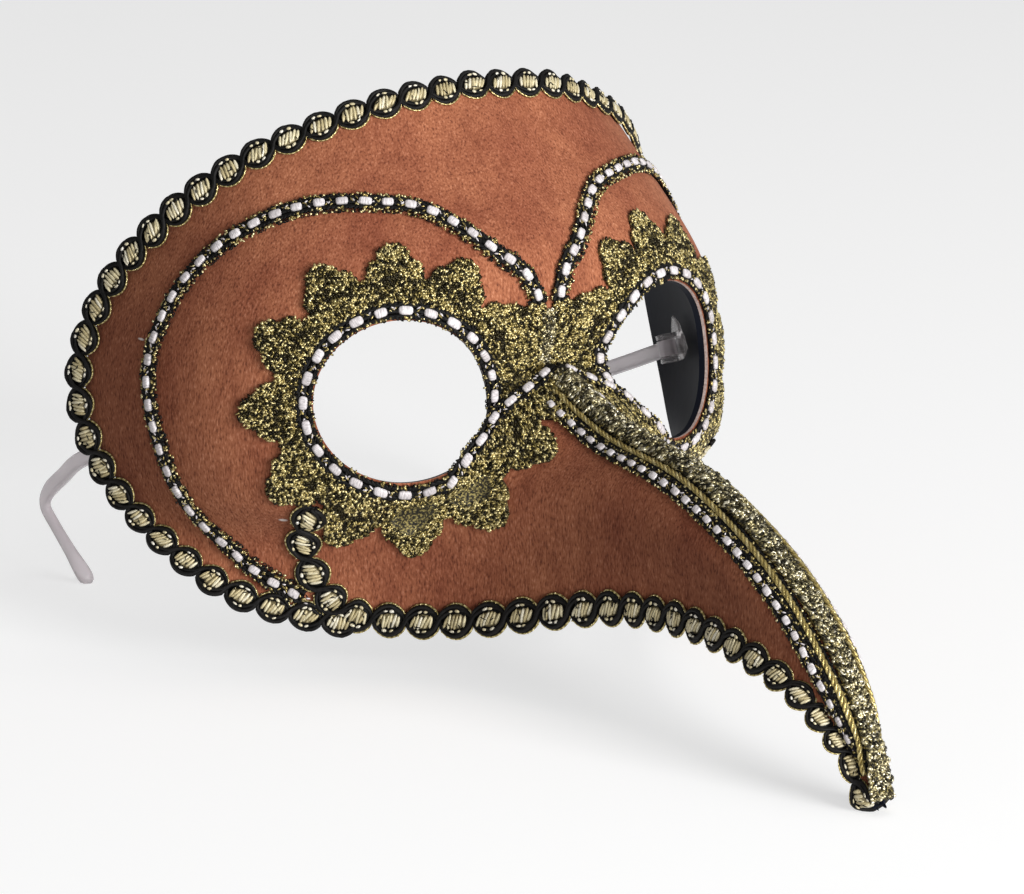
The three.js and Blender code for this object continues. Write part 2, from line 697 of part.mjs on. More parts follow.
function templeArm(widerDeg = 0) {
  const curve = new THREE.CatmullRomCurve3(ARM_LINE.map(vec));
  const sections = [];
  const inward = new THREE.Vector3(1, 0.08, 0).normalize();
  for (let n = 0; n <= ARM_STEPS; n += 1) {
    const t = n / ARM_STEPS;
    const centre = curve.getPointAt(t);
    const along = curve.getTangentAt(t);
    const flat = inward.clone().addScaledVector(along, -inward.dot(along)).normalize();
    const tall = new THREE.Vector3().crossVectors(along, flat).normalize();
    const { swell, girth } = armGirth(t);
    const tallHalf = (THREE.MathUtils.lerp(ARM_TALL, ARM_TIP, swell) / 2) * girth * ARM_ROUNDING;
    const flatHalf = (THREE.MathUtils.lerp(ARM_THICK, ARM_TIP, swell) / 2) * girth * ARM_ROUNDING;
    const section = [];
    for (let k = 0; k < ARM_SIDES; k += 1) {
      const turn = (2 * Math.PI * (k + 0.5)) / ARM_SIDES;
      section.push(centre.clone()
        .addScaledVector(flat, flatHalf * Math.cos(turn))
        .addScaledVector(tall, tallHalf * Math.sin(turn)));
    }
    sections.push(section);
  }
  const toPin = pinPoint.clone().sub(vec(ARM_LINE[0]));
  const neck = sections[0].map((p) => p.clone().add(toPin));
  const rod = joinSections([neck, ...sections].reverse(), false);
  const barrel = pinCylinder(BARREL_RADIUS, ARM_TALL);
  const bore = pinCylinder(PIN_RADIUS + GAP, ARM_TALL + 2, 8);
  const arm = openedAt(rod.add(barrel).subtract(bore), widerDeg);
  const ground = toManifold(new THREE.BoxGeometry(60, 60, 20).translate(-60, 130, FLOOR_Z - 10));
  return arm.subtract(ground);
}

// Each piece is cut clear of its neighbours.

function largest(solid) {
  return solid.decompose().reduce((a, b) => (a.volume() > b.volume() ? a : b));
}

function clearOf(solid, ...rooms) {
  return largest(rooms.reduce((rest, room) => rest.subtract(room), solid));
}

const beakBraidRoom = beakBraid(GAP);
const floor = toManifold(new THREE.BoxGeometry(60, 60, 20).translate(0, -110, FLOOR_Z - 10));
const bothBeakBraids = [beakBraidRoom, mirrorSolid(beakBraidRoom)];
const eyeLace = clearOf(
  eyeLaceSolid(), eyeBraid(GAP), narrowBraid(BROW_LINE, GAP), narrowBraid(BEAK_SIDE_LINE, GAP),
  ridgeCord(GAP), ridgeLace(GAP), beakBraidRoom, faceRoom,
);
const rightArm = templeArm();
const leftArm = mirrorSolid(templeArm(LEFT_ARM_WIDER_DEG));

// Colour, roughness and metalness.
const FINISHES = {
  plastic: { color: 0x14161f, roughness: 0.45, metalness: 0 },
  velour: { color: 0x7d3a20, roughness: 0.95, metalness: 0 },
  gimp: { color: 0x8f7c55, roughness: 0.6, metalness: 0.2 },
  dashed: { color: 0xc9b98e, roughness: 0.6, metalness: 0.1 },
  goldLace: { color: 0x8d6f33, roughness: 0.5, metalness: 0.5 },
  ridge: { color: 0xb9a678, roughness: 0.4, metalness: 0.6 },
  clear: { color: 0xe8dcd8, roughness: 0.2, metalness: 0 },
};

const MIDDLE_PIECES = [
  ['shell', 'plastic', shell],
  ['velour_cover', 'velour', velour],
  ['rim_braid', 'gimp', clearOf(rimBraid(), beakBraidRoom)],
  ['beak_braid', 'gimp', clearOf(beakBraid(), faceRoom, floor)],
  ['ridge_lace', 'ridge', clearOf(ridgeLace(), beakBraidRoom)],
];

const SIDE_PIECES = [
  ['eye_braid', 'dashed', eyeBraid()],
  ['brow_braid', 'dashed', clearOf(narrowBraid(BROW_LINE), beakBraidRoom)],
  ['beak_side_braid', 'dashed', clearOf(narrowBraid(BEAK_SIDE_LINE), ...bothBeakBraids)],
  ['ridge_cord', 'goldLace', clearOf(ridgeCord(), beakBraidRoom)],
  ['eye_lace', 'goldLace', eyeLace],
  ['hinge_plate', 'clear', hingePlate()],
];

const mask = new THREE.Group();

function addPiece(name, finish, solid) {
  const mesh = new THREE.Mesh(toGeometry(solid), new THREE.MeshStandardMaterial(FINISHES[finish]));
  mesh.name = name;
  mask.add(mesh);
}

MIDDLE_PIECES.forEach((piece) => addPiece(...piece));
SIDE_PIECES.forEach(([name, finish, solid]) => {
  addPiece(`${name}_right`, finish, solid);
  addPiece(`${name}_left`, finish, mirrorSolid(solid));
});
addPiece('temple_arm_right', 'clear', rightArm);
addPiece('temple_arm_left', 'clear', leftArm);

// The finished mask stands on the ground, with its origin below the middle of its box.
mask.position.set(0, -MIDDLE_Y, -FLOOR_Z);

export default mask;
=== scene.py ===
# %% [markdown]
# # A long-beaked half mask
# The mask is a thin moulded shell with velour glued over it, edged with braid, drawn over with
# narrower braid and metal-thread lace, and worn on two clear spectacle arms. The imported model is
# the fixed frame: every piece here is in metres, in its axes, and stands on the same surface.

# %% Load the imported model
import math

import bpy
import numpy as np
from mathutils import Matrix, Vector


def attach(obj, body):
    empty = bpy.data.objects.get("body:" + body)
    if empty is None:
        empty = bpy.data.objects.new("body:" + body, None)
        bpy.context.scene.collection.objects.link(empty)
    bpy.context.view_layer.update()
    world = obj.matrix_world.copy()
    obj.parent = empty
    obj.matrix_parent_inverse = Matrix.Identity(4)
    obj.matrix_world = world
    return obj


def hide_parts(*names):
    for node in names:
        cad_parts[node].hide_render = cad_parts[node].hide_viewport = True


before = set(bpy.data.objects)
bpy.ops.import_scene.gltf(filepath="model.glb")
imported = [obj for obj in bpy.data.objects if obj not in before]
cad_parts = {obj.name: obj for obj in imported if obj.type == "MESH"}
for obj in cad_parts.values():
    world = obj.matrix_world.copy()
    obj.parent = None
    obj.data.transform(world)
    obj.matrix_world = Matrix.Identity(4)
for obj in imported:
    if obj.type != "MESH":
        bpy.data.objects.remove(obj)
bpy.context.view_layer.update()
MM = 0.001

# %% [markdown]
# ## The camera
# The picture was taken with a long lens from a little above the mask's right cheek. The camera
# goes first, so that every later piece can be judged against the same view.

# %% Place the camera
CAMERA_PLACE = (-0.5782, -0.8658, 0.3259)
CAMERA_BACK = (-0.5313, -0.8082, 0.2541)
CAMERA_RIGHT = (0.8356, -0.5493, 0.0)
LENS_MM = 162.7

camera_data = bpy.data.cameras.new("camera")
camera_data.lens = LENS_MM
camera_data.sensor_width = 36
camera_data.clip_start = 0.05
camera = bpy.data.objects.new("camera", camera_data)
bpy.context.scene.collection.objects.link(camera)
back = Vector(CAMERA_BACK).normalized()
right = Vector(CAMERA_RIGHT).normalized()
turn = Matrix((right, back.cross(right), back)).transposed()
camera.matrix_world = Matrix.Translation(CAMERA_PLACE) @ turn.to_4x4()
bpy.context.scene.camera = camera
print("camera at", [round(x, 3) for x in camera.location])

# %% [markdown]
# ## Floor and light
# A plain pale floor and soft lamps, as in a small studio. One large lamp stands low in front of the
# mask, so that the forehead is bright and the side of the beak falls into shade. The floor glows a
# little by itself and sends no light back, as a white paper sweep lit on its own would.

# %% Make the floor and the lamps
def deselect():
    bpy.ops.object.select_all(action="DESELECT")


def principled(material):
    return next(n for n in material.node_tree.nodes if n.type == "BSDF_PRINCIPLED")


def new_material(name, colour, roughness, metallic=0.0):
    material = bpy.data.materials.new(name)
    material.use_nodes = True
    shader = principled(material)
    shader.inputs["Base Color"].default_value = (*colour, 1)
    shader.inputs["Roughness"].default_value = roughness
    shader.inputs["Metallic"].default_value = metallic
    return material


deselect()
bpy.ops.mesh.primitive_plane_add(size=8, location=(0, 0, 0))
floor = bpy.context.object
floor.name = "floor"
paper = new_material("pale_floor", (0.5, 0.5, 0.5), 0.9)
principled(paper).inputs["Emission Color"].default_value = (1, 1, 1, 1)
principled(paper).inputs["Emission Strength"].default_value = 0.6
floor.data.materials.append(paper)
floor.visible_diffuse = False


def soft_lamp(name, place, size, power, aim=(0, -0.02, 0.06)):
    light = bpy.data.lights.new(name, "AREA")
    light.size = size
    light.energy = power
    lamp = bpy.data.objects.new(name, light)
    lamp.location = place
    lamp.rotation_euler = (Vector(aim) - Vector(place)).to_track_quat("-Z", "Y").to_euler()
    bpy.context.scene.collection.objects.link(lamp)


soft_lamp("lamp_front", (0.26, -1.35, 0.33), 0.6, 24)
soft_lamp("lamp_low", (-0.48, -1.23, 0.05), 0.5, 8.5)
soft_lamp("lamp_top", (0.2, -0.1, 1.5), 0.9, 4)
world = bpy.data.worlds.new("room")
bpy.context.scene.world = world
world.use_nodes = True
world.node_tree.nodes["Background"].inputs["Color"].default_value = (1, 1, 1, 1)
world.node_tree.nodes["Background"].inputs["Strength"].default_value = 0.22
bpy.context.scene.view_settings.view_transform = "Standard"

# %% [markdown]
# ## The form of the face
# The whole mask is one curved sheet, so its form is written down once. Lines run across it from
# the middle to the rim, each with two handles, and the face is the smooth surface through them.
# Sizes are in millimetres from the bridge of the nose, and a fixed step takes them to the frame.

# %% The face as a surface
FROM_BRIDGE = np.array([0.0, -8.9, 73.1])
LINES = np.array([
    [[0, 39.5, 60], [0, 39.5, 60], [0, 39.5, 60], [0, 39.5, 60]],
    [[0, 23.5, 41], [-13.5, 24.5, 40], [-22, 32.5, 44], [-26.5, 42.5, 56.5]],
    [[0, 11, 26], [-31.5, 12.5, 25], [-49.5, 29.5, 29.5], [-54, 57.5, 42.5]],
    [[0, 7.5, 12], [-47.5, 7, 11.5], [-71, 29, 12.5], [-73, 76.5, 17]],
    [[0, 9.5, 0], [-51.5, 6, -6], [-78.5, 28, -10.5], [-81.5, 81.5, -9.5]],
    [[0, 2, -2], [-43, -1, -24], [-68, 21.5, -33], [-78.5, 68, -33.5]],
    [[0, -23.5, -9.5], [-22, -10.5, -19], [-33.5, 18, -38], [-64.5, 39.5, -52.5]],
    [[0, -61, -15.5], [-14.5, -40, -13.5], [-14, -8, -33.5], [-30, 9, -58]],
    [[0, -94, -33], [-12.5, -74.5, -19.5], [-8, -52.5, -30.5], [-10, -45, -45]],
    [[0, -114.5, -55], [-9, -103, -39.5], [-6, -93.5, -41.5], [-8.5, -95, -47.5]],
    [[0, -120, -71], [0, -120, -71], [0, -120, -71], [0, -120, -71]],
], float)
LAST_LINE = len(LINES) - 1


def smooth_through(points, t):
    points = np.asarray(points, float)
    last = len(points) - 1
    ends = [2 * points[0] - points[1]], [2 * points[-1] - points[-2]]
    points = np.concatenate([ends[0], points, ends[1]])
    t = np.asarray(t, float)
    i = np.clip(np.floor(t).astype(int), 0, last - 1)
    f = (t - i).reshape(t.shape + (1,) * (points.ndim - 1))
    a, b, c, d = (points[i + k] for k in range(4))
    curve = 2 * b + (c - a) * f + (2 * a - 5 * b + 4 * c - d) * f ** 2
    return 0.5 * (curve + (3 * b - a - 3 * c + d) * f ** 3)


def face_point(u, v):
    u, v = np.broadcast_arrays(np.asarray(u, float), np.asarray(v, float))
    w = np.abs(v)
    shares = np.stack([(1 - w) ** 3, 3 * w * (1 - w) ** 2, 3 * w * w * (1 - w), w ** 3], -1)
    point = (smooth_through(LINES, u) * shares[..., None]).sum(-2)
    point[..., 0] *= np.where(v < 0, -1, 1)
    return point


def unit(vectors):
    return vectors / np.maximum(np.linalg.norm(vectors, axis=-1, keepdims=True), 1e-9)


def face_slopes(u, v):
    step = 0.004
    u = np.clip(u, 0.06, LAST_LINE - 0.06)
    along = (face_point(u + step, v) - face_point(u - step, v)) / (2 * step)
    across = (face_point(u, v + step) - face_point(u, v - step)) / (2 * step)
    return along, across


def face_normal(u, v):
    along, across = face_slopes(u, v)
    normal = np.cross(across, along)
    normal[..., 0] = np.where(np.abs(v) < 1e-9, 0, normal[..., 0])
    return unit(normal)


def to_frame(points):
    return (np.asarray(points) + FROM_BRIDGE) * MM


print("tip of the beak:", to_frame(face_point(LAST_LINE, 0)).round(4))

# %% [markdown]
# ## Mesh tools
# A part here is a handful of points and faces with a material number, a shade and its place on
# the trimming it belongs to. Many parts make one piece, as many stitches make one braid.

# %% Build one piece from many parts
def part(points, quads=(), tris=(), slot=0, shade=0.5):
    points = np.asarray(points, float).reshape(-1, 3)
    quads = np.asarray(quads, int).reshape(-1, 4)
    tris = np.asarray(tris, int).reshape(-1, 3)
    shade = np.broadcast_to(np.asarray(shade, float), len(points))
    return {"points": points, "quads": quads, "tris": tris, "shade": shade,
            "quad_slot": np.full(len(quads), slot), "tri_slot": np.full(len(tris), slot),
            "lay": points}


def gather(parts):
    starts = np.cumsum([0] + [len(p["points"]) for p in parts])[:-1]
    joined = {key: np.concatenate([p[key] for p in parts])
              for key in ("points", "shade", "lay", "quad_slot", "tri_slot")}
    for key in ("quads", "tris"):
        joined[key] = np.concatenate([p[key] + s for p, s in zip(parts, starts)])
    return joined


def turned_over(p):
    return {**p, "quads": p["quads"][:, ::-1], "tris": p["tris"][:, ::-1]}


def mirrored(p):
    return turned_over({**p, "points": p["points"] * [-1, 1, 1]})


def make_piece(name, p, materials):
    mesh = bpy.data.meshes.new(name)
    quads, tris = p["quads"], p["tris"]
    corners = np.concatenate([quads.ravel(), tris.ravel()]).astype(np.int32)
    starts = np.concatenate([np.arange(len(quads)) * 4, 4 * len(quads) + np.arange(len(tris)) * 3])
    mesh.vertices.add(len(p["points"]))
    mesh.vertices.foreach_set("co", to_frame(p["points"]).astype(np.float32).ravel())
    mesh.loops.add(len(corners))
    mesh.loops.foreach_set("vertex_index", corners)
    mesh.polygons.add(len(starts))
    mesh.polygons.foreach_set("loop_start", starts.astype(np.int32))
    for material in materials:
        mesh.materials.append(material)
    slots = np.concatenate([p["quad_slot"], p["tri_slot"]]).astype(np.int32)
    mesh.polygons.foreach_set("material_index", slots)
    mesh.update(calc_edges=True)
    mesh.validate()
    mesh.shade_smooth()
    mesh.attributes.new("shade", "FLOAT", "POINT").data.foreach_set(
        "value", p["shade"].astype(np.float32))
    mesh.attributes.new("lay", "FLOAT_VECTOR", "POINT").data.foreach_set(
        "vector", p["lay"].astype(np.float32).ravel())
    piece = bpy.data.objects.new(name, mesh)
    bpy.context.scene.collection.objects.link(piece)
    print(name, "triangles:", 2 * len(quads) + len(tris))
    return piece


def take_shape(name):
    """The active object as a shape in millimetres, ready to be copied, and out of the scene."""
    shape = bpy.context.object
    points = np.array([v.co for v in shape.data.vertices]) / MM
    faces = [tuple(f.vertices) for f in shape.data.polygons]
    bpy.data.objects.remove(shape)
    print("shape", name, "faces:", len(faces))
    return {"points": points, "quads": np.array([f for f in faces if len(f) == 4]).reshape(-1, 4),
            "tris": np.array([f for f in faces if len(f) == 3]).reshape(-1, 3)}


def place(shape, at, turn_deg=0.0, scale=(1, 1, 1), slot=0, shade=0.5, tilt_deg=0.0):
    """One copy of a shape: scaled, tilted about x, turned about the height, and moved."""
    points = shape["points"] * scale
    a, b = math.radians(tilt_deg), math.radians(turn_deg)
    points = points @ np.array([[1, 0, 0], [0, math.cos(a), math.sin(a)], [0, -math.sin(a), math.cos(a)]])
    points = points @ np.array([[math.cos(b), math.sin(b), 0], [-math.sin(b), math.cos(b), 0], [0, 0, 1]])
    return part(points + at, shape["quads"], shape["tris"], slot, shade)


def line_of(along, across, height):
    """Points of a line, where across and height may also be one value for all."""
    return np.stack(np.broadcast_arrays(along, across, height), 1)


def tube(rings, ends, slot=0, shade=0.5):
    """Rings of points joined into a closed tube, with a fan of faces round each end's middle."""
    count, sides = rings.shape[:2]
    here, k = np.arange(count - 1)[:, None] * sides, np.arange(sides)[None]
    there, k2 = here + sides, (k + 1) % sides
    quads = np.stack([here + k, here + k2, there + k2, there + k], -1)
    shade = np.repeat(np.broadcast_to(np.asarray(shade, float), count), sides)
    first, last = count * sides, (count - 1) * sides
    tris = [(first, (i + 1) % sides, i) for i in range(sides)]
    tris += [(first + 1, last + i, last + (i + 1) % sides) for i in range(sides)]
    points = np.concatenate([rings.reshape(-1, 3), ends])
    return part(points, quads, tris, slot, np.append(shade, shade[[0, -1]]))


def strand(centres, radius, sides=6, slot=0, shade=0.5):
    """A round thread through points given as along, across and height."""
    ahead = unit(np.gradient(centres, axis=0))
    side = unit(np.cross([0, 0, 1.0], ahead))
    over = np.cross(ahead, side)
    turns = 2 * np.pi * np.arange(sides) / sides
    radius = np.broadcast_to(np.asarray(radius, float), len(centres))[:, None, None]
    ring = side[:, None] * np.cos(turns)[:, None] + over[:, None] * np.sin(turns)[:, None]
    return tube(centres[:, None] + radius * ring, centres[[0, -1]], slot, shade)


# %% [markdown]
# ## Lying on the cloth
# Braids are made flat and then laid on the face. A track keeps, for every half millimetre of a
# trimming's run, its middle and both edges on the cloth with the way they face, and laying a
# point means finding its place between them.

# %% Tracks on the face
TRACK_STEP = 0.5
HUGGING = (0.8, 9.3)


def step_aside(u, v, tangent, distance):
    steps = max(1, math.ceil(abs(distance)))
    for _ in range(steps):
        along, across = face_slopes(u, v)
        side = unit(np.cross(np.cross(across, along), tangent)) * distance / steps
        aa, bb, ab = (along * along).sum(-1), (across * across).sum(-1), (along * across).sum(-1)
        sa, sb = (side * along).sum(-1), (side * across).sum(-1)
        det = aa * bb - ab * ab
        u, v = u + (sa * bb - sb * ab) / det, v + (sb * aa - sa * ab) / det
    return u, v


def softened(rows, times):
    for _ in range(times):
        rows = np.concatenate([rows[:1], (rows[:-2] + 2 * rows[1:-1] + rows[2:]) / 4, rows[-1:]])
    return rows


def way_gone(points):
    """How far it is along a line of points from its start to each of them."""
    return np.concatenate([[0], np.cumsum(np.linalg.norm(np.diff(points, axis=0), axis=1))])


def read_at(wanted, gone, columns):
    return np.stack([np.interp(wanted, gone, column) for column in columns.T], 1)


def even_places(line):
    fine = smooth_through(line, np.linspace(0, len(line) - 1, (len(line) - 1) * 24 + 1))
    gone = way_gone(face_point(*fine.T))
    wanted = np.linspace(0, gone[-1], max(3, round(gone[-1] / TRACK_STEP)) + 1)
    return *read_at(wanted, gone, fine).T, gone[-1]


def tilted_up(rows, slope, width):
    """Tilts a run up from its inner edge, so that its outer edge stands off the face."""
    rows = rows.copy()
    slope = slope[:, None]
    side = unit(rows[:, 4] - rows[:, 2])
    for edge, reach in ((0, 0.5), (2, 0.0), (4, 1.0)):
        rows[:, edge] += rows[:, edge + 1] * slope * width * reach
        rows[:, edge + 1] = unit(rows[:, edge + 1] - side * slope)
    return rows


def track(line, width, both_sides=False, flare=None):
    """A run along a line of places on the face. Near the face's two poles its edges go straight."""
    u, v, length = even_places(line)
    middle = face_point(u, v)
    tangent = unit(np.gradient(middle, axis=0))
    normal = face_normal(u, v)
    side = unit(np.cross(normal, tangent))
    inside = np.clip(np.minimum(u - HUGGING[0], HUGGING[1] - u) * 4, 0, 1)[:, None]
    rows = [middle, normal]
    for sign in (-1, 1):
        straight = middle + side * sign * width / 2
        uu, vv = step_aside(u, v, tangent, sign * width / 2)
        hugging = face_point(uu, vv)
        rows.append(np.where(inside > 0, hugging * inside + straight * (1 - inside), straight))
        rows.append(np.where(inside > 0, face_normal(uu, vv) * inside + normal * (1 - inside), normal))
    rows = np.stack(rows, 1)
    if flare is not None:
        rows = tilted_up(rows, flare(u), width)
    if both_sides:
        far = rows[::-1] * [-1, 1, 1]
        rows = softened(np.concatenate([rows[:-1], far]), 6)
        length *= 2
    return {"rows": rows, "length": length, "half": width / 2}


def on_track(run, points):
    """Lays points (along, across, height) on a track."""
    rows, length = run["rows"], run["length"]
    s, x, h = np.asarray(points, float).T
    beyond = s - np.clip(s, 0, length)
    t = np.clip(s / length, 0, 1) * (len(rows) - 1)
    i = np.minimum(t.astype(int), len(rows) - 2)
    f = (t - i)[:, None, None]
    middle, normal, low, low_n, high, high_n = ((1 - f) * rows[i] + f * rows[i + 1]).transpose(1, 0, 2)
    q = (x / run["half"])[:, None]
    shares = 1 - q * q, (q * q - q) / 2, (q * q + q) / 2
    at = shares[0] * middle + shares[1] * low + shares[2] * high
    up = unit(shares[0] * normal + shares[1] * low_n + shares[2] * high_n)
    ahead = unit(rows[i + 1, 0] - rows[i, 0])
    return at + up * h[:, None] + ahead * beyond[:, None]


def laid(run, p, slim=None):
    """Lays a flat trimming on its run; slim narrows it by its place along."""
    flat = p["points"].copy()
    if slim is not None:
        flat[:, 1:] *= slim(flat[:, 0])[:, None]
    return {**p, "lay": p["points"], "points": on_track(run, flat)}


# %% [markdown]
# ## Finishes
# Every finish is made of nodes. Threads take their colour from the shade that each stitch was
# given, so that neighbours differ as lit and shaded stitches do: low shades are painted shade, and
# high shades on metal thread are painted glints.

# %% Node helpers
def link(material, output, target):
    material.node_tree.links.new(output, target)


def node(material, kind, **values):
    made = material.node_tree.nodes.new(kind)
    for key, value in values.items():
        if key in made.inputs:
            made.inputs[key].default_value = value
        else:
            setattr(made, key, value)
    return made


def noise(material, scale, detail=2.0, stretch=(1, 1, 1), source="Object"):
    """Noise over the object's own places, or over an attribute that its points carry."""
    if source == "Object":
        out = node(material, "ShaderNodeTexCoord").outputs["Object"]
    else:
        out = node(material, "ShaderNodeAttribute", attribute_name=source).outputs["Vector"]
    mapping = node(material, "ShaderNodeMapping", Scale=stretch)
    link(material, out, mapping.inputs["Vector"])
    made = node(material, "ShaderNodeTexNoise", Scale=scale, Detail=detail)
    link(material, mapping.outputs["Vector"], made.inputs["Vector"])
    return made.outputs["Fac"]


def ramp(material, source, stops):
    made = node(material, "ShaderNodeValToRGB")
    elements = made.color_ramp.elements
    while len(elements) < len(stops):
        elements.new(0.5)
    for element, (position, colour) in zip(elements, stops):
        element.position = position
        element.color = (*colour, 1)
    link(material, source, made.inputs["Fac"])
    return made.outputs["Color"]


def mixed(material, factor, a, b, blend="MIX"):
    made = node(material, "ShaderNodeMix", data_type="RGBA", blend_type=blend)
    for key, value in (("Factor", factor), ("A", a), ("B", b)):
        target = [s for s in made.inputs if s.name == key and s.enabled][0]
        if hasattr(value, "links"):
            link(material, value, target)
        elif key == "Factor":
            target.default_value = value
        else:
            target.default_value = (*value, 1)
    return [s for s in made.outputs if s.enabled][0]


def bump(material, source, strength, distance_mm):
    made = node(material, "ShaderNodeBump", Strength=strength, Distance=distance_mm * MM)
    link(material, source, made.inputs["Height"])
    link(material, made.outputs["Normal"], principled(material).inputs["Normal"])


def coloured(material, colour):
    link(material, colour, principled(material).inputs["Base Color"])


def shade_of(material):
    return node(material, "ShaderNodeAttribute", attribute_name="shade").outputs["Fac"]


# %% [markdown]
# ### Velour
# Velour is a knitted cloth with a short cut pile. It shows as fine upright flecks, light where the
# pile leans to the lamp, and its edges glow softly, which the sheen gives. The cut edge shows the
# pale backing.

# %% Velour, its cut edge and the moulded plastic
velour = new_material("velour", (0.36, 0.13, 0.066), 0.92)
shader = principled(velour)
shader.inputs["Sheen Weight"].default_value = 0.12
shader.inputs["Sheen Roughness"].default_value = 0.4
shader.inputs["Sheen Tint"].default_value = (1.0, 0.66, 0.5, 1)
shader.inputs["Specular IOR Level"].default_value = 0.1
flecks = noise(velour, 2300, 2.0, (1, 1, 0.36))
strokes = noise(velour, 330, 3.0, (1, 1, 0.4))
patches = noise(velour, 40, 3.0, (1, 1, 0.6))
fleck_colour = ramp(velour, flecks, [(0.3, (0.17, 0.055, 0.03)), (0.42, (0.31, 0.106, 0.052)),
                                     (0.6, (0.4, 0.148, 0.076)), (0.74, (0.54, 0.235, 0.135))])
stroke_colour = ramp(velour, strokes, [(0.32, (0.8, 0.75, 0.75)), (0.55, (1.0, 1.0, 1.0))])
patch_colour = ramp(velour, patches, [(0.34, (0.7, 0.6, 0.62)), (0.6, (1.0, 1.0, 1.0)),
                                      (0.75, (1.12, 1.12, 1.12))])
pile_colour = mixed(velour, 1.0, fleck_colour, stroke_colour, "MULTIPLY")
cloth_colour = mixed(velour, 1.0, pile_colour, patch_colour, "MULTIPLY")


def lint(material, colour, at, size):
    """A bit of white fluff: a short streak round a point given in millimetres from the bridge."""
    spot = node(material, "ShaderNodeMapping", vector_type="TEXTURE")
    spot.inputs["Location"].default_value = (np.array(at) + FROM_BRIDGE) * MM
    spot.inputs["Scale"].default_value = np.array(size) * MM
    link(material, node(material, "ShaderNodeTexCoord").outputs["Object"], spot.inputs["Vector"])
    fade = node(material, "ShaderNodeTexGradient", gradient_type="SPHERICAL")
    link(material, spot.outputs["Vector"], fade.inputs["Vector"])
    share = ramp(material, fade.outputs["Fac"], [(0.15, (0, 0, 0)), (0.6, (0.8, 0.8, 0.8))])
    return mixed(material, share, colour, (0.85, 0.78, 0.74))


cloth_colour = lint(velour, cloth_colour, (-58.9, 28.9, -34.0), (1.6, 1.4, 0.55))
cloth_colour = lint(velour, cloth_colour, (-76.4, 63.0, 4.3), (1.2, 1.6, 0.4))
coloured(velour, cloth_colour)
bump(velour, flecks, 0.3, 0.25)

cut_edge = new_material("velour_cut_edge", (0.72, 0.56, 0.5), 0.85)
coloured(cut_edge, ramp(cut_edge, noise(cut_edge, 1500),
                        [(0.3, (0.5, 0.34, 0.3)), (0.7, (0.8, 0.66, 0.6))]))

plastic = new_material("moulded_plastic", (0.007, 0.008, 0.014), 0.5)
principled(plastic).inputs["Specular IOR Level"].default_value = 0.08
coloured(plastic, ramp(plastic, noise(plastic, 60, 4.0),
                       [(0.3, (0.005, 0.006, 0.011)), (0.7, (0.011, 0.013, 0.022))]))
bump(plastic, noise(plastic, 350, 3.0), 0.12, 0.3)


# %% [markdown]
# ### Threads
# Black cord has a dull sheen. Satin stitches are bright and striped along their threads. Metal
# thread is a flat gold strip wound round a core, so it glints in short pieces.

# %% Threads
def thread(name, stops, roughness, metallic, ply_scale, ply_depth=0.25, stretch=(1, 1, 1), gloss=0.5):
    material = new_material(name, stops[0][1], roughness, metallic)
    principled(material).inputs["Specular IOR Level"].default_value = gloss
    colour = ramp(material, shade_of(material), stops)
    grain = noise(material, ply_scale, 2.0, stretch, "lay")
    tint = ramp(material, grain, [(0.3, (0.5, 0.5, 0.5)), (0.6, (1.0, 1.0, 1.0))])
    coloured(material, mixed(material, 1.0, colour, tint, "MULTIPLY"))
    bump(material, grain, 0.5, ply_depth)
    return material


ALONG_THREADS = (3, 0.6, 1)
black_cord = thread("black_cord", [(0, (0.003, 0.0028, 0.0026)), (1, (0.011, 0.01, 0.0095))],
                    0.6, 0.0, 1.6, gloss=0.16)
# Low shades of the cream satin are painted shade, used for the pad that shows between stitches.
cream_satin = thread("cream_satin", [(0, (0.13, 0.1, 0.045)), (0.4, (0.6, 0.5, 0.27)),
                                     (0.75, (0.8, 0.71, 0.46)), (1, (0.93, 0.89, 0.78))],
                     0.4, 0.1, 1.8, 0.15, ALONG_THREADS)
white_satin = thread("white_satin", [(0, (0.52, 0.47, 0.47)), (1, (0.82, 0.77, 0.78))],
                     0.45, 0.0, 1.1, 0.12, ALONG_THREADS)
# The dark ends of the metal thread ramps are painted shade and their bright ends painted glints.
gold_thread = thread("gold_thread", [(0, (0.08, 0.06, 0.018)), (0.5, (0.5, 0.39, 0.14)),
                                     (1, (0.96, 0.85, 0.48))], 0.3, 0.7, 3.0)
lace_thread = thread("lace_thread", [(0, (0.008, 0.006, 0.003)), (0.3, (0.085, 0.066, 0.02)),
                                     (0.6, (0.42, 0.33, 0.115)), (1, (0.98, 0.84, 0.42))], 0.33, 0.7, 3.5)
ridge_thread = thread("ridge_thread", [(0, (0.01, 0.01, 0.008)), (0.35, (0.12, 0.1, 0.05)),
                                       (0.7, (0.62, 0.54, 0.3)), (1, (1.0, 0.94, 0.74))], 0.3, 0.75, 3.0)
# The lace ground is a dark sheet with gold specks: painted shade deep in the crochet, with glints.
lace_ground = new_material("lace_ground", (0.08, 0.06, 0.025), 0.6, 0.3)
speckle = noise(lace_ground, 1.9, 2.0, (1, 1, 1), "lay")
coloured(lace_ground, ramp(lace_ground, speckle, [(0.38, (0.008, 0.007, 0.004)),
                                                  (0.5, (0.06, 0.048, 0.018)), (0.62, (0.36, 0.29, 0.1))]))
bump(lace_ground, speckle, 0.8, 0.4)

# %% [markdown]
# ## Cloth and shell
# Both are sheets bent to the form of the face. A flat grid is added and bent over the form, the
# doubled points at the forehead and the tip are merged, the sheet gets its thickness, and the two
# eye holes are cut with an elliptic cutter, as a stamp would.

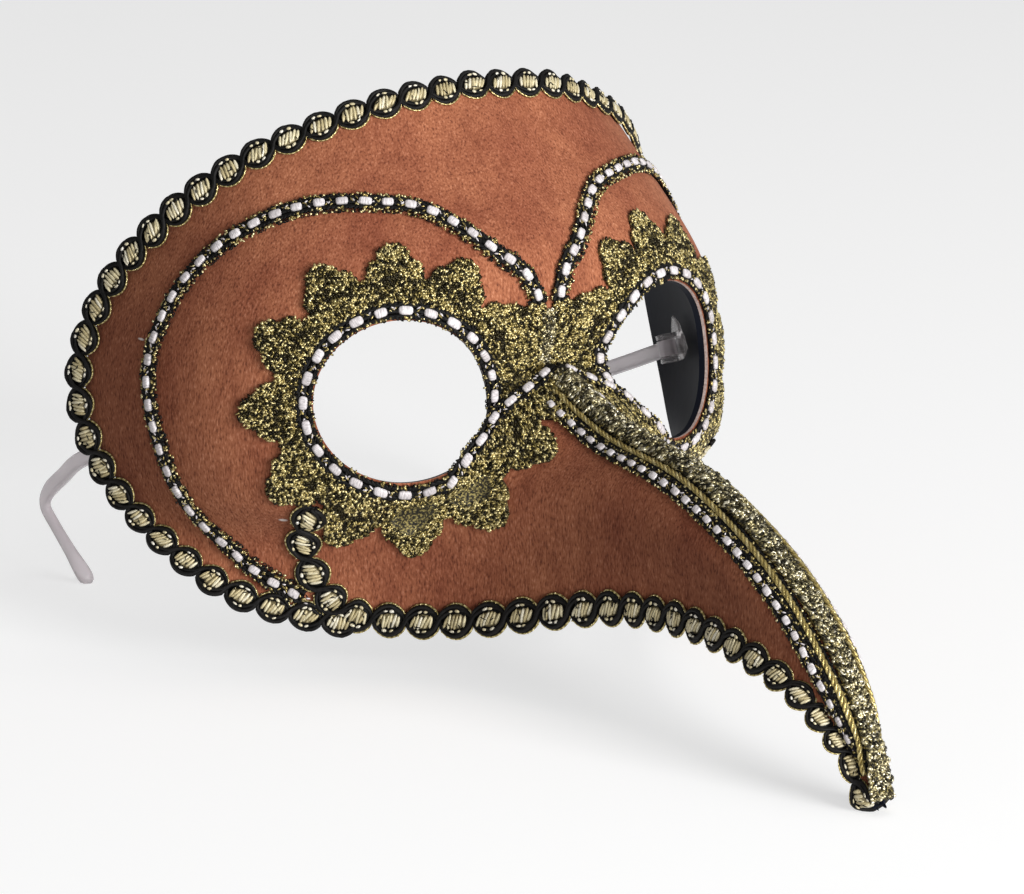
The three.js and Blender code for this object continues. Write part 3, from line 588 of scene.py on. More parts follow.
# %% Bend a sheet over the form and cut the eye holes
EYE_CENTRE = np.array([-37.3, 12.5, -5.7])
EYE_NORMAL = unit(np.array([-0.39, -0.903, 0.18]))
EYE_UP = unit(np.array([0, 0, 1.0]) - EYE_NORMAL * EYE_NORMAL[2])
EYE_OUT = np.cross(EYE_NORMAL, EYE_UP)
HOLE_MIDDLE = (-0.6, 0.3)
HOLE_HALF = (20.4, 18.6)
AROUND, ACROSS = 170, 120
THIN_FROM = 8.6
CLOTH_THICK = 0.8
SHELL_THICK, SHELL_BELOW = 1.55, 0.85


def normals_outward(merge_within=None):
    """Turns the active object's faces outward, and first merges points closer than given."""
    bpy.ops.object.mode_set(mode="EDIT")
    bpy.ops.mesh.select_all(action="SELECT")
    if merge_within is not None:
        bpy.ops.mesh.remove_doubles(threshold=merge_within)
    bpy.ops.mesh.normals_make_consistent(inside=False)
    bpy.ops.object.mode_set(mode="OBJECT")


def bend_sheet(name, lift):
    """A flat grid bent over the face; a lifted sheet comes nearer to it towards the tip."""
    deselect()
    bpy.ops.mesh.primitive_grid_add(x_subdivisions=AROUND, y_subdivisions=ACROSS, size=2)
    sheet = bpy.context.object
    sheet.name = name
    flat = np.array([v.co for v in sheet.data.vertices])
    u = (flat[:, 0] + 1) / 2 * LAST_LINE
    v = flat[:, 1]
    thinning = np.clip((u - THIN_FROM) / (LAST_LINE - THIN_FROM), 0, 1)
    own = lift * (1 - 0.7 * thinning ** 2 * (3 - 2 * thinning))
    points = face_point(u, v) + face_normal(u, v) * own[:, None]
    sheet.data.vertices.foreach_set("co", to_frame(points).astype(np.float32).ravel())
    normals_outward(merge_within=0.05 * MM)
    return sheet


def eye_cutter(side):
    deselect()
    bpy.ops.mesh.primitive_cylinder_add(vertices=128, radius=1, depth=0.06)
    cutter = bpy.context.object
    out, up, normal = (Vector(a * [side, 1, 1]) for a in (EYE_OUT, EYE_UP, EYE_NORMAL))
    middle = EYE_CENTRE + EYE_OUT * HOLE_MIDDLE[0] + EYE_UP * HOLE_MIDDLE[1]
    size = Matrix.Diagonal((HOLE_HALF[0] * MM, HOLE_HALF[1] * MM, 1)).to_4x4()
    turned = Matrix((out, up, normal)).transposed().to_4x4()
    cutter.data.transform(Matrix.Translation(to_frame(middle * [side, 1, 1])) @ turned @ size)
    normals_outward()
    return cutter


def apply_modifier(piece, kind, **settings):
    deselect()
    bpy.context.view_layer.objects.active = piece
    piece.select_set(True)
    modifier = piece.modifiers.new(kind.lower(), kind)
    for key, value in settings.items():
        setattr(modifier, key, value)
    bpy.ops.object.modifier_apply(modifier=modifier.name)


def faces_outward(sheet):
    """Turns a bent sheet so that its faces look away from the wearer."""
    within = Vector(to_frame([0, 60, 0]))
    away = sum(1 if f.normal.dot(f.center - within) > 0 else -1 for f in sheet.data.polygons)
    if away < 0:
        sheet.data.flip_normals()


def face_layer(name, lift, thick, materials):
    sheet = bend_sheet(name, lift)
    faces_outward(sheet)
    apply_modifier(sheet, "SOLIDIFY", thickness=thick * MM, offset=-1, use_even_offset=False)
    for side in (1, -1):
        cutter = eye_cutter(side)
        apply_modifier(sheet, "BOOLEAN", object=cutter, operation="DIFFERENCE", solver="EXACT")
        bpy.data.objects.remove(cutter)
    sheet.data.validate()
    for material in materials:
        sheet.data.materials.append(material)
    bpy.ops.object.shade_smooth_by_angle(angle=math.radians(40))
    print(name, "faces:", len(sheet.data.polygons))
    return sheet


cloth = face_layer("velour", 0, CLOTH_THICK, [velour, cut_edge])
shell = face_layer("moulded_shell", -SHELL_BELOW, SHELL_THICK, [plastic])

# %% [markdown]
# The wall of each hole through the cloth is its cut edge. Those faces look across the hole, so
# they are found by the way they face, close to the hole's outline.

# %% Paint the cut edge of the velour
EDGE_SLOT = 1


def paint_cut_edge(piece):
    count = 0
    for face in piece.data.polygons:
        centre = np.array(face.center) / MM - FROM_BRIDGE
        side = -1 if centre[0] > 0 else 1
        away = centre * [side, 1, 1] - EYE_CENTRE
        a = (away @ EYE_OUT - HOLE_MIDDLE[0]) / HOLE_HALF[0]
        b = (away @ EYE_UP - HOLE_MIDDLE[1]) / HOLE_HALF[1]
        facing = abs(float(np.dot(np.array(face.normal) * [side, 1, 1], EYE_NORMAL)))
        if abs(math.hypot(a, b) - 1) < 0.02 and facing < 0.15 and abs(away @ EYE_NORMAL) < 25:
            face.material_index = EDGE_SLOT
            count += 1
    print("cut edge faces:", count)


def stands_for(piece, cad_node, body="mask"):
    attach(piece, body)
    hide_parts(cad_node)


paint_cut_edge(cloth)
stands_for(cloth, "velour_cover")
stands_for(shell, "shell")
one_face = [f.area for f in cloth.data.polygons if f.material_index != EDGE_SLOT]
print("cloth on one face, square metres:", round(sum(one_face) / 2, 5))

# %% [markdown]
# ## Stitch shapes
# A stitch, a round pad, a knot, a loop, a grain and a rounded dash are shaped from primitives, about
# a millimetre large. They are copied thousands of times, so each has few faces.

# %% A stitch, a pad, a knot, a loop, a grain and a dash
deselect()
bpy.ops.mesh.primitive_uv_sphere_add(segments=6, ring_count=4, radius=0.0005,
                                     rotation=(0, math.pi / 2, 0))
bpy.ops.object.transform_apply(rotation=True)
STITCH = take_shape("stitch")
bpy.ops.mesh.primitive_uv_sphere_add(segments=12, ring_count=4, radius=0.0005)
PAD = take_shape("pad")
bpy.ops.mesh.primitive_uv_sphere_add(segments=5, ring_count=3, radius=0.0005)
KNOT = take_shape("knot")
bpy.ops.mesh.primitive_torus_add(major_segments=7, minor_segments=3, major_radius=0.0005,
                                 minor_radius=0.0002)
LOOP = take_shape("loop")
bpy.ops.mesh.primitive_cube_add(size=0.00086, rotation=(0.6, 0.6, 0.3))
bpy.ops.object.transform_apply(rotation=True)
GRAIN = take_shape("grain")
bpy.ops.mesh.primitive_cube_add(size=0.001)
bpy.ops.object.mode_set(mode="EDIT")
bpy.ops.mesh.bevel(offset=0.00028, segments=2)
bpy.ops.object.mode_set(mode="OBJECT")
DASH = take_shape("dash")


def stitch(at, length, width, thick, turn_deg=0.0, slot=0, shade=0.5):
    """A satin stitch: long along x before it is turned."""
    return place(STITCH, at, turn_deg, (length, width, thick), slot, shade)


def knot(at, size, slot=0, shade=0.5):
    return place(KNOT, at, 0, (size, size, size), slot, shade)


# %% [markdown]
# ## Wide gimp braid
# The gimp is a chain of round beads: two pairs of black cords weave from side to side in a figure
# of eight, cream satin stitches fill each eye of it, and a wound gold thread follows its scallops.
# It is made flat, one bead after another, and then laid on its track.

# %% Make a length of gimp
GIMP_PITCH = 7.95
GIMP_WIDTH = 7.6
CORDS = ((3.05, 0.5, -0.08), (2.3, 0.42, 0.1))
SCALLOP = 2.75
ROUNDNESS = 0.62
BEAD_SAMPLES = 15
BEAD_GROUND, BEAD_SHADE_PAD = (7.7, 6.3, 1.0), (5.0, 3.3, 1.1)
FAN_STITCHES, FAN_GAP, FAN_RADIUS = 6, 0.86, 1.9
GOLD_KNOTS = 6
random = np.random.default_rng(11)
GIMP = [black_cord, cream_satin, gold_thread]


def gimp(beads, gold_sides):
    """A flat length of gimp with beads of the usual pitch."""
    parts = []
    s = np.linspace(0, beads * GIMP_PITCH, beads * BEAD_SAMPLES + 1)
    theta = np.pi * s / GIMP_PITCH
    bulge = np.abs(np.sin(theta)) ** ROUNDNESS
    for pair in (1, -1):
        for reach, radius, raised in CORDS:
            height = 0.95 + pair * 0.38 * np.cos(theta) + raised
            across = pair * (reach * np.sign(np.sin(theta)) * bulge + (reach - 2.67) * 0.8 * np.cos(theta))
            rough = radius + random.uniform(-0.05, 0.05, len(s))
            parts.append(strand(line_of(s, across, height), rough, 6, 0, random.uniform(0, 1)))
    for side in gold_sides:
        across = side * (0.95 + SCALLOP * bulge)
        # The turns of the wound gold are painted in turn, bright as glints and dark as shade between them.
        glints_and_shade = np.where(np.arange(len(s)) % 2, 0.85, 0.15)
        parts.append(strand(line_of(s, across, 0.6), 0.23, 5, 2, glints_and_shade))
    for side in (1, -1):
        parts.append(strand(line_of(s, side * (0.5 + SCALLOP * bulge), 0.42), 0.42, 4, 0, 0.1))
    for bead in range(beads):
        middle = (bead + 0.5) * GIMP_PITCH
        parts.append(place(PAD, (middle, 0, 0.5), 0, BEAD_GROUND, 0, 0.0))
        # A dark pad of cream satin under the stitches: painted shade that shows in the gaps between them.
        parts.append(place(PAD, (middle, 0, 0.9), 0, BEAD_SHADE_PAD, 1, 0.15))
        slant = random.uniform(8, 30)
        for k in range(FAN_STITCHES):
            off = (k - (FAN_STITCHES - 1) / 2) * FAN_GAP + random.uniform(-0.1, 0.1)
            span = 2 * math.sqrt(FAN_RADIUS ** 2 - (0.5 * off) ** 2) * random.uniform(0.85, 1.0)
            at = (middle + off, random.uniform(-0.25, 0.1), 1.5 - 0.05 * off ** 2)
            parts.append(stitch(at, span, 0.88, 0.8, 90 - slant + random.uniform(-12, 12), 1,
                                random.uniform(0.3, 0.9)))
        for side in (1, -1):
            for off in (-0.75, 0.75):
                at = (middle + off + random.uniform(-0.3, 0.3), side * 2.12, 1.42)
                parts.append(stitch(at, random.uniform(0.9, 1.4), random.uniform(0.5, 0.85), 0.6,
                                    -side * off * 20 + random.uniform(-15, 15), 1, random.uniform(0.6, 1)))
        for _ in range(2):
            at = (middle + random.uniform(-2.2, 2.2), random.uniform(-1.6, 1.6), 1.75)
            parts.append(stitch(at, random.uniform(0.8, 1.8), 0.26, 0.4, random.uniform(0, 180), 0, 0.1))
        for side in gold_sides:
            for step in np.linspace(-3.3, 3.3, GOLD_KNOTS):
                share = abs(math.sin(math.pi * (step / GIMP_PITCH + 0.5))) ** ROUNDNESS
                at = (middle + step + random.uniform(-0.3, 0.3), side * (1.0 + SCALLOP * share),
                      0.76 + random.uniform(-0.1, 0.1))
                parts.append(knot(at, random.uniform(0.25, 0.5), 2, random.uniform(0.4, 1)))
    return gather(parts)


def fitted_gimp(run, beads, gold_sides, pitches=None, slim=None):
    """Lays whole beads on a run. Pitches gives the share of the run that each bead takes."""
    shares = np.ones(beads) if pitches is None else pitches(np.arange(beads))
    ends = np.concatenate([[0], np.cumsum(shares)]) * run["length"] / shares.sum()
    flat = gimp(beads, gold_sides)
    points = flat["points"].copy()
    points[:, 0] = np.interp(points[:, 0], np.arange(beads + 1) * GIMP_PITCH, ends)
    print("beads:", beads, "pitch:", np.diff(ends).min().round(2), "to", np.diff(ends).max().round(2))
    return {**laid(run, {**flat, "points": points}, slim), "lay": flat["points"]}


def finish_piece(name, p, materials, cad_node, body="mask"):
    piece = make_piece(name, p, materials)
    stands_for(piece, cad_node, body)
    return piece


def finish_pair(name, right_part, materials, cad_node):
    """The same piece on both sides of the face, the left one mirrored."""
    for side, p in (("right", right_part), ("left", mirrored(right_part))):
        finish_piece(f"{name}_{side}", p, materials, f"{cad_node}_{side}")


# %% [markdown]
# ## Rim braid and beak braid
# The rim braid runs from under one cheek over the forehead to the other cheek, and stands a
# little off the face round the temples. The beak braid starts below the eye, meets the rim and
# follows the lower edge of the beak round its tip.

# %% Lay the gimp
RIM_LINE = [[6.66, 1.03], [6.3, 1.02], [5.9, 1.012], [5.5, 1.004], [5, 1], [4, 1], [3, 1], [2, 1], [1, 1],
            [0, 1]]
RIM_BEADS = 57
BEAK_EDGE_LINE = [[5.1, 0.577], [5.3, 0.635], [5.68, 0.76], [6.08, 0.87], [6.38, 0.95], [6.65, 1], [7.2, 1],
                  [8, 1], [9, 1], [9.7, 1]]
RIM_FLARE = 0.4
TIP_HALF, TIP_UNDER = 3.2, (-118.4, -71.4)


def smooth_step(x, low, high):
    """Rises softly from 0 at low to 1 at high."""
    t = np.clip((x - low) / (high - low), 0, 1)
    return t * t * (3 - 2 * t)


def rim_flare(u):
    return RIM_FLARE * smooth_step(u, 1.2, 2.6) * (1 - smooth_step(u, 5.2, 6.2))


rim_track = track(RIM_LINE, GIMP_WIDTH, both_sides=True, flare=rim_flare)
rim = fitted_gimp(rim_track, RIM_BEADS, (-1,))
finish_piece("rim_gimp", rim, GIMP, "rim_braid")


def beak_track():
    """The near edge, a turn under the tip and the far edge, joined and spaced evenly."""
    run = track(BEAK_EDGE_LINE, GIMP_WIDTH)
    rows = run["rows"]
    step = run["length"] / (len(rows) - 1)
    under = []
    for x in np.linspace(-1, 1, 9):
        centre = np.array([x * TIP_HALF, TIP_UNDER[0] + x * x, TIP_UNDER[1] + abs(x) * 1.3])
        normal = unit(np.array([x * 0.8, -0.7, -0.7]))
        side = unit(np.cross(normal, [1, 0, x * 0.3]))
        under.append([centre, normal, centre - side * GIMP_WIDTH / 2, normal,
                      centre + side * GIMP_WIDTH / 2, normal])
    far = rows[::-1] * [-1, 1, 1]
    joined = np.concatenate([rows, np.array(under), far])
    gone = way_gone(joined[:, 0])
    even = read_at(np.arange(0, gone[-1], step), gone, joined.reshape(len(joined), -1)).reshape(-1, 6, 3)
    even[:, 1::2] = unit(softened(even, 10)[:, 1::2])
    even[:, 0::2] = softened(even, 4)[:, 0::2]
    return {"rows": even, "length": gone[-1], "half": GIMP_WIDTH / 2}


def pressed_on_floor(p, lowest=0.0):
    points = p["points"].copy()
    points[:, 2] = np.maximum(points[:, 2], lowest - FROM_BRIDGE[2])
    return {**p, "points": points}


beak_run = beak_track()


BEAD_PITCHES = ((0, 9.8), (3, 7.0), (8, 9.6), (10, 9.4), (13, 6.9), (19, 8.0), (23, 5.7), (25, 7.8))
BEAK_BEADS = 52


def beak_pitches(bead):
    """The braid was eased round the cheek and the tip, so its beads lie closer there."""
    from_end = np.minimum(bead, BEAK_BEADS - 1 - bead)
    return np.interp(from_end, *zip(*BEAD_PITCHES))


def slimmer_to_tip(s):
    """The beak braid is wide under the cheek and drawn narrower at the tip, halfway along."""
    return 1.14 - 0.3 * smooth_step(1 - np.abs(2 * s / beak_run["length"] - 1), 0.62, 0.97)


beak = pressed_on_floor(fitted_gimp(beak_run, BEAK_BEADS, (1, -1), beak_pitches, slimmer_to_tip))
finish_piece("beak_gimp", beak, GIMP, "beak_braid")

# %% [markdown]
# ## Narrow braid
# A white satin dash about 3 mm long, a gap with two crossed gold threads, and so on, between
# black crocheted edges with tiny gold loops. Again one flat length, laid on a track.

# %% Make and lay the narrow braid
BRAID_PITCH = 5.2
BRAID_WIDTH = 4.4
BRAID = [black_cord, white_satin, gold_thread]
GAP_THREADS = (2, 1, 2, 0, 2, 1, 0, 2, 0)
DASH_SAMPLES = 9
PLAIN_EDGE, PICOT_EDGE = 2.2, 2.9


def narrow_braid(run, pitch=BRAID_PITCH, fringe=0, slim=None, lift=None):
    """Fringe is the side (1 or -1) with the longer picots, and lift raises the braid by its place."""
    dashes = max(1, round(run["length"] / pitch))
    pitch = run["length"] / dashes
    parts = []
    s = np.linspace(0, run["length"], dashes * DASH_SAMPLES + 1)
    for across in (-1.2, 0, 1.2):
        parts.append(strand(line_of(s, across, 0.55), 0.7 if across == 0 else 0.58, 6, 0, 0.1))
    for k in range(dashes):
        middle = (k + 0.5) * pitch + random.uniform(-0.12, 0.12)
        size = (pitch * random.uniform(0.5, 0.58), random.uniform(1.75, 2.05), 1.3)
        parts.append(place(DASH, (middle, 0, 1.1), random.uniform(-6, 6), size, 1, random.uniform(0.4, 1)))
        for n in range(len(GAP_THREADS)):
            at = (middle + pitch / 2 + random.uniform(-0.95, 0.95), random.uniform(-0.9, 0.9),
                  1.15 + random.uniform(-0.1, 0.15))
            parts.append(stitch(at, random.uniform(0.8, 1.3), 0.4, 0.45,
                                random.choice((-40, 40)) + random.uniform(-20, 20),
                                GAP_THREADS[n], random.uniform(0.1, 0.9)))
        for side in (1, -1):
            for n in range(5):
                at = (middle + (n - 2) * pitch / 5, side * 1.55, 0.85 + random.uniform(-0.08, 0.1))
                parts.append(stitch(at, 1.4, 0.7, 0.8, side * 28 + random.uniform(-20, 20),
                                    2 if n % 5 == 2 else 0, random.uniform(0, 0.5)))
            far = PICOT_EDGE if side == fringe else PLAIN_EDGE
            for n in range(15 if side == fringe else 8):
                at = (middle + random.uniform(-0.5, 0.5) * pitch, side * random.uniform(1.45, far),
                      0.95 + random.uniform(-0.25, 0.3))
                parts.append(place(GRAIN, at, random.uniform(0, 180),
                                   (random.uniform(0.45, 0.85), random.uniform(0.35, 0.5), 0.45),
                                   2 if random.uniform() < 0.7 else 0, random.uniform(0.1, 1)))
            for n in range(4 if side == fringe else 2):
                at = (middle + random.uniform(-0.5, 0.5) * pitch, side * (far - 0.35), 0.75)
                parts.append(place(LOOP, at, random.uniform(0, 180), (0.8, 0.7, 0.9), 0,
                                   random.uniform(0, 1), random.uniform(-40, 40)))
    flat = gather(parts)
    points = flat["points"].copy()
    if lift is not None:
        points[:, 2] += lift(points[:, 0])
    return {**laid(run, {**flat, "points": points}, slim), "lay": flat["points"]}


BROW_LINE = [[2.86, 0.018], [2.6, 0.029], [2.35, 0.048], [2.1, 0.092], [1.68, 0.23], [1.48, 0.42],
             [1.58, 0.6], [1.9, 0.76], [2.48, 0.84], [3.4, 0.84], [4.25, 0.82], [4.9, 0.84], [5.5, 0.885],
             [5.73, 0.912], [5.94, 0.933], [6.15, 0.952], [6.28, 0.967]]


def ridge_line(start, end, distance, tip_distance):
    u = np.linspace(start, end, 13)
    away = distance + (tip_distance - distance) * smooth_step(u, 8.4, 9.4)
    line = []
    for k, one in enumerate(u):
        tangent = unit(face_point(one + 0.05, 0) - face_point(one - 0.05, 0))
        spot = step_aside(np.array([one]), np.array([0.001]), tangent[None], -away[k])
        line.append([spot[0][0], spot[1][0]])
    return line


# %% [markdown]
# ### The ring round the eye hole
# The ring is drawn on a flat chart that stands before the eye, and each place of the chart is
# found on the face straight behind it.

# %% Find places of the eye chart on the face
def chart_place(a, b):
    """Starts from a rough guess and steps along the face until it lies behind the chart's place."""
    a, b = np.asarray(a, float), np.asarray(b, float)
    target = EYE_CENTRE + EYE_OUT * a[..., None] + EYE_UP * b[..., None]
    u, v = 4.2 - b / 16, 0.33 + a / 95
    for _ in range(14):
        miss = target - face_point(u, v)
        along, across = face_slopes(u, v)
        facing = np.broadcast_to(EYE_NORMAL, along.shape)
        pull = np.linalg.solve(np.stack([along, across, facing], -1), miss[..., None])[..., 0]
        u = u + np.clip(pull[..., 0], -0.5, 0.5)
        v = np.maximum(v + np.clip(pull[..., 1], -0.1, 0.1), 0.005)
    return u, v


RING_FROM_DEG = 250
RING_TO_DEG = 548
ring_deg = np.linspace(RING_FROM_DEG, RING_TO_DEG, 40)
near_nose = np.exp(-((ring_deg - 535) / 26) ** 2)
reach = BRAID_WIDTH / 2 - 0.1 - 0.8 * near_nose
ring_u, ring_v = chart_place(HOLE_MIDDLE[0] + (HOLE_HALF[0] + reach) * np.cos(np.radians(ring_deg)),
                             HOLE_MIDDLE[1] + (HOLE_HALF[1] + reach) * np.sin(np.radians(ring_deg)))
TAIL_LINE = [[4.835, 0.002], [4.883, 0.044], [4.9, 0.087], [4.936, 0.135], [5.118, 0.186], [5.252, 0.24],
             [5.46, 0.318], [5.6, 0.385]]
EYE_BRAID_LINE = TAIL_LINE + np.stack([ring_u, ring_v], 1).tolist()
eye_braid_track = track(EYE_BRAID_LINE, BRAID_WIDTH)
print("ring joins at", np.round(EYE_BRAID_LINE[len(TAIL_LINE)], 3))


def over_the_lace(s):
    """The tail lies on the lace until it reaches the eye, and the end of the ring goes under it."""
    length = eye_braid_track["length"]
    return 0.75 * (1 - smooth_step(s, 16, 26)) - 0.35 * smooth_step(s, length - 6, length)


side_track = track(ridge_line(5.25, 9.16, 7.0, 4.4), BRAID_WIDTH)


def slimmer_side(s):
    return 0.8 - 0.14 * smooth_step(s / side_track["length"], 0.4, 1.0)


right_braids = {
    "eye_braid": narrow_braid(eye_braid_track, 5.85, 0, None, over_the_lace),
    "brow_braid": narrow_braid(track(BROW_LINE, BRAID_WIDTH), BRAID_PITCH, 1),
    "beak_side_braid": narrow_braid(side_track, 4.2, 0, slimmer_side),
}
for name, right_part in right_braids.items():
    finish_pair(f"{name}_laid", right_part, BRAID, name)

# %% [markdown]
# ## Eye lace
# The lace is crochet in metal thread: twelve points, each of three lobes, round the ring, and a
# web that joins both eyes over the bridge. A dark thin ground, painted as the shade deep in the
# crochet, carries thousands of short turns of thread, some painted dark as shade and some bright
# as glints. Near the foot of each point lies a crescent sunk in shade, painted with dark grains.

# %% Draw the outline of the lace
POINTS_DEG = [-2, 29, 60, 90, 119, 147, 173, 199, 233, 264, 294, 325]
LOBES = [(32.3, 0.0, 4.1), (29.7, 7.0, 3.1), (29.7, -7.0, 3.1)]
LACE_BAND = 29.0
BRIDGE_DEG = (137, 189)
BRIDGE_TOP = 20.2
ridge_spots = face_point(np.linspace(2.6, 5.4, 60), 0.0) - EYE_CENTRE
ridge_turn = np.degrees(np.arctan2(ridge_spots @ EYE_UP, ridge_spots @ EYE_OUT)) % 360
ridge_away = np.hypot(ridge_spots @ EYE_UP, ridge_spots @ EYE_OUT)


def on_bridge(degrees):
    return (degrees % 360 > BRIDGE_DEG[0]) & (degrees % 360 < BRIDGE_DEG[1])


def bridge_reach(degrees):
    """Between the eyes the lace runs on to the middle, up to an even height."""
    order = np.argsort(ridge_turn)
    to_middle = np.interp(degrees % 360, ridge_turn[order], ridge_away[order]) - 0.4
    top = BRIDGE_TOP + 0.7 * np.abs(np.sin(np.radians(degrees * 22))) + 0.9 * (degrees % 360 > 146)
    return np.minimum(to_middle, top / np.maximum(np.sin(np.radians(degrees)), 0.2))


def lace_edge(degrees):
    """How far the lace reaches from the middle of the eye, at each angle."""
    reach = np.full(len(degrees), LACE_BAND)
    for tip in POINTS_DEG:
        for distance, aside, radius in LOBES:
            off = np.radians(degrees - tip - aside)
            across = distance * np.sin(off)
            hit = (np.abs(across) < radius) & (np.cos(off) > 0)
            far = distance * np.cos(off) + np.sqrt(np.maximum(radius ** 2 - across ** 2, 0))
            reach = np.where(hit, np.maximum(reach, far), reach)
    return np.where(on_bridge(degrees), np.maximum(reach, bridge_reach(degrees)), reach)


def lace_start(degrees):
    angle = np.radians(degrees)
    cut_corner = np.exp(-((degrees % 360 - 225) / 34) ** 2)
    out = BRAID_WIDTH - 0.6 - 3.0 * cut_corner
    a = (HOLE_HALF[0] + out) * np.cos(angle) + HOLE_MIDDLE[0]
    b = (HOLE_HALF[1] + out) * np.sin(angle) + HOLE_MIDDLE[1]
    return np.hypot(a, b)


print("the lace reaches", lace_edge(np.arange(360)).max().round(1), "mm from the middle of the eye")

# %% [markdown]
# ### A grid behind the chart
# Each of the thousands of grains needs its place on the face. Finding them one by one would be
# slow, so the chart is solved once on a grid of millimetres, and grains lie between its corners.

# %% Solve the chart once
CHART_STEP = 1.0
CHART_HALF = 39
chart_axis = np.arange(-CHART_HALF, CHART_HALF + 1, CHART_STEP)
chart_a, chart_b = np.meshgrid(chart_axis, chart_axis, indexing="ij")
chart_u, chart_v = chart_place(chart_a, chart_b)
CHART_AT = face_point(chart_u, chart_v)
CHART_UP = face_normal(chart_u, chart_v)
print("chart places solved:", chart_a.size)


def on_chart(points):
    """Lays points (chart out, chart up, height) on the face."""
    a, b, h = np.asarray(points, float).T
    ta = np.clip((a + CHART_HALF) / CHART_STEP, 0, len(chart_axis) - 1.001)
    tb = np.clip((b + CHART_HALF) / CHART_STEP, 0, len(chart_axis) - 1.001)
    i, j = ta.astype(int), tb.astype(int)
    f, g = (ta - i)[:, None], (tb - j)[:, None]

    def between(grid):
        near = grid[i, j] * (1 - f) + grid[i + 1, j] * f
        far = grid[i, j + 1] * (1 - f) + grid[i + 1, j + 1] * f
        return near * (1 - g) + far * g

    return between(CHART_AT) + unit(between(CHART_UP)) * h[:, None]


# %% [markdown]
# ### Scattering the stitches
# The rows of this crochet can't be told apart, only its glints. A staggered grid with each place
# moved a little fills the lace evenly and shows no pattern, which places at random would not.

# %% Crochet the eye lace
LACE_FIELD = ((-38, -38), (38, 38))
LACE_GAPS = [(-33.6, 14.2, 0.7, 0.9), (-31.3, 8.5, 0.8, 0.7), (-30.9, 13.0, 0.45, 1.1),
             (-35.0, 17.0, 0.35, 2.6), (-35.2, 12.0, 0.3, 3.0)]


def spread(spacing, low, high, keep, seed):
    """Even but irregular places: a staggered grid with each place moved a little."""
    rng = np.random.default_rng(seed)
    a = np.arange(low[0], high[0], spacing)
    b = np.arange(low[1], high[1], spacing * 0.87)
    grid_a, grid_b = np.meshgrid(a, b, indexing="ij")
    grid_a = grid_a + (np.arange(len(b)) % 2) * spacing / 2
    spots = np.stack([grid_a.ravel(), grid_b.ravel()], 1)
    spots += rng.uniform(-0.28, 0.28, spots.shape) * spacing
    return spots[keep(spots)]


# The ground is a dark sheet under the grains, painted as the shade deep in the crochet.
def lace_ground_part():
    degrees = np.arange(0, 360, 1.5)
    start, end = lace_start(degrees) - 0.4, lace_edge(degrees) - 0.35
    angle = np.radians(degrees)
    rows = []
    across = [(0, 0.1), (0, 0.6)] + [(n / 12, 0.72) for n in range(1, 12)] + [(0.985, 0.6), (1, 0.1)]
    for share, height in across:
        reach = start + (end - start) * share
        rows.append(line_of(reach * np.cos(angle), reach * np.sin(angle), height))
    points = np.stack(rows, 1).reshape(-1, 3)
    n, m = len(degrees), len(rows)
    i, k = np.arange(n)[:, None], np.arange(m)[None]
    i2, k2 = (i + 1) % n, (k + 1) % m
    quads = np.stack([i * m + k, i * m + k2, i2 * m + k2, i2 * m + k], -1).reshape(-1, 4)
    return part(points, quads, (), 1, 0.3)


def loops_on(spots, size, rng, height=(0.85, 1.2)):
    parts = []
    for a, b in spots:
        scale = rng.uniform(0.8, 1.25) * size
        parts.append(place(LOOP, (a, b, rng.uniform(*height)), rng.uniform(0, 360),
                           (scale, scale * rng.uniform(0.75, 1.1), scale * 1.15), 0,
                           rng.uniform(0, 1), rng.uniform(-38, 38)))
    return parts


def wandering(a, b):
    """A soft pattern of lighter and darker places about three millimetres across."""
    waves = math.sin(1.3 * a + 2 * math.sin(0.7 * b)) * math.sin(1.1 * b + 1.7 * math.sin(0.8 * a))
    return 0.5 + 0.5 * waves


def grains_on(spots, rng, height=(0.75, 1.1), shaded_share=0.42):
    """Short turns of thread: some are painted dark as shade between the stitches, the others bright as
    glints.
    """
    parts = []
    for a, b in spots:
        dark = rng.uniform() < shaded_share + 0.5 * (0.5 - wandering(a, b))
        shade = rng.uniform(0, 0.2) if dark else rng.uniform(0.4, 1.0)
        size = (rng.uniform(0.65, 1.1), rng.uniform(0.38, 0.52), rng.uniform(0.45, 0.65))
        lump = 0.3 * (wandering(a, b) - 0.5)
        parts.append(place(GRAIN, (a, b, rng.uniform(*height) + lump), rng.uniform(0, 360), size, 0, shade,
                           rng.uniform(-35, 35)))
    return parts


def round_the_eye(spots):
    """How far places of the chart are from its middle, and in which direction."""
    return np.hypot(spots[:, 0], spots[:, 1]), np.degrees(np.arctan2(spots[:, 1], spots[:, 0]))


def in_lace(spots):
    reach, degrees = round_the_eye(spots)
    inner = np.interp(degrees % 360, np.arange(361), lace_start(np.arange(361)))
    bare = np.zeros(len(spots), bool)
    for a, b, half_wide, half_tall in LACE_GAPS:
        bare |= np.hypot((spots[:, 0] - a) / half_wide, (spots[:, 1] - b) / half_tall) < 1
    return (reach > inner + 0.1) & (reach < lace_edge(degrees) - 0.3) & ~bare


def in_crescent(spots):
    """The crescents near the foot of each point, sunk in shade: their grains are painted dark."""
    reach, degrees = round_the_eye(spots)
    found = np.zeros(len(spots), bool)
    for tip in POINTS_DEG:
        off = (degrees - tip + 180) % 360 - 180
        found |= (np.abs(off) < 10) & (np.abs(reach - 28.0 + 0.012 * off ** 2) < 0.7)
    return found


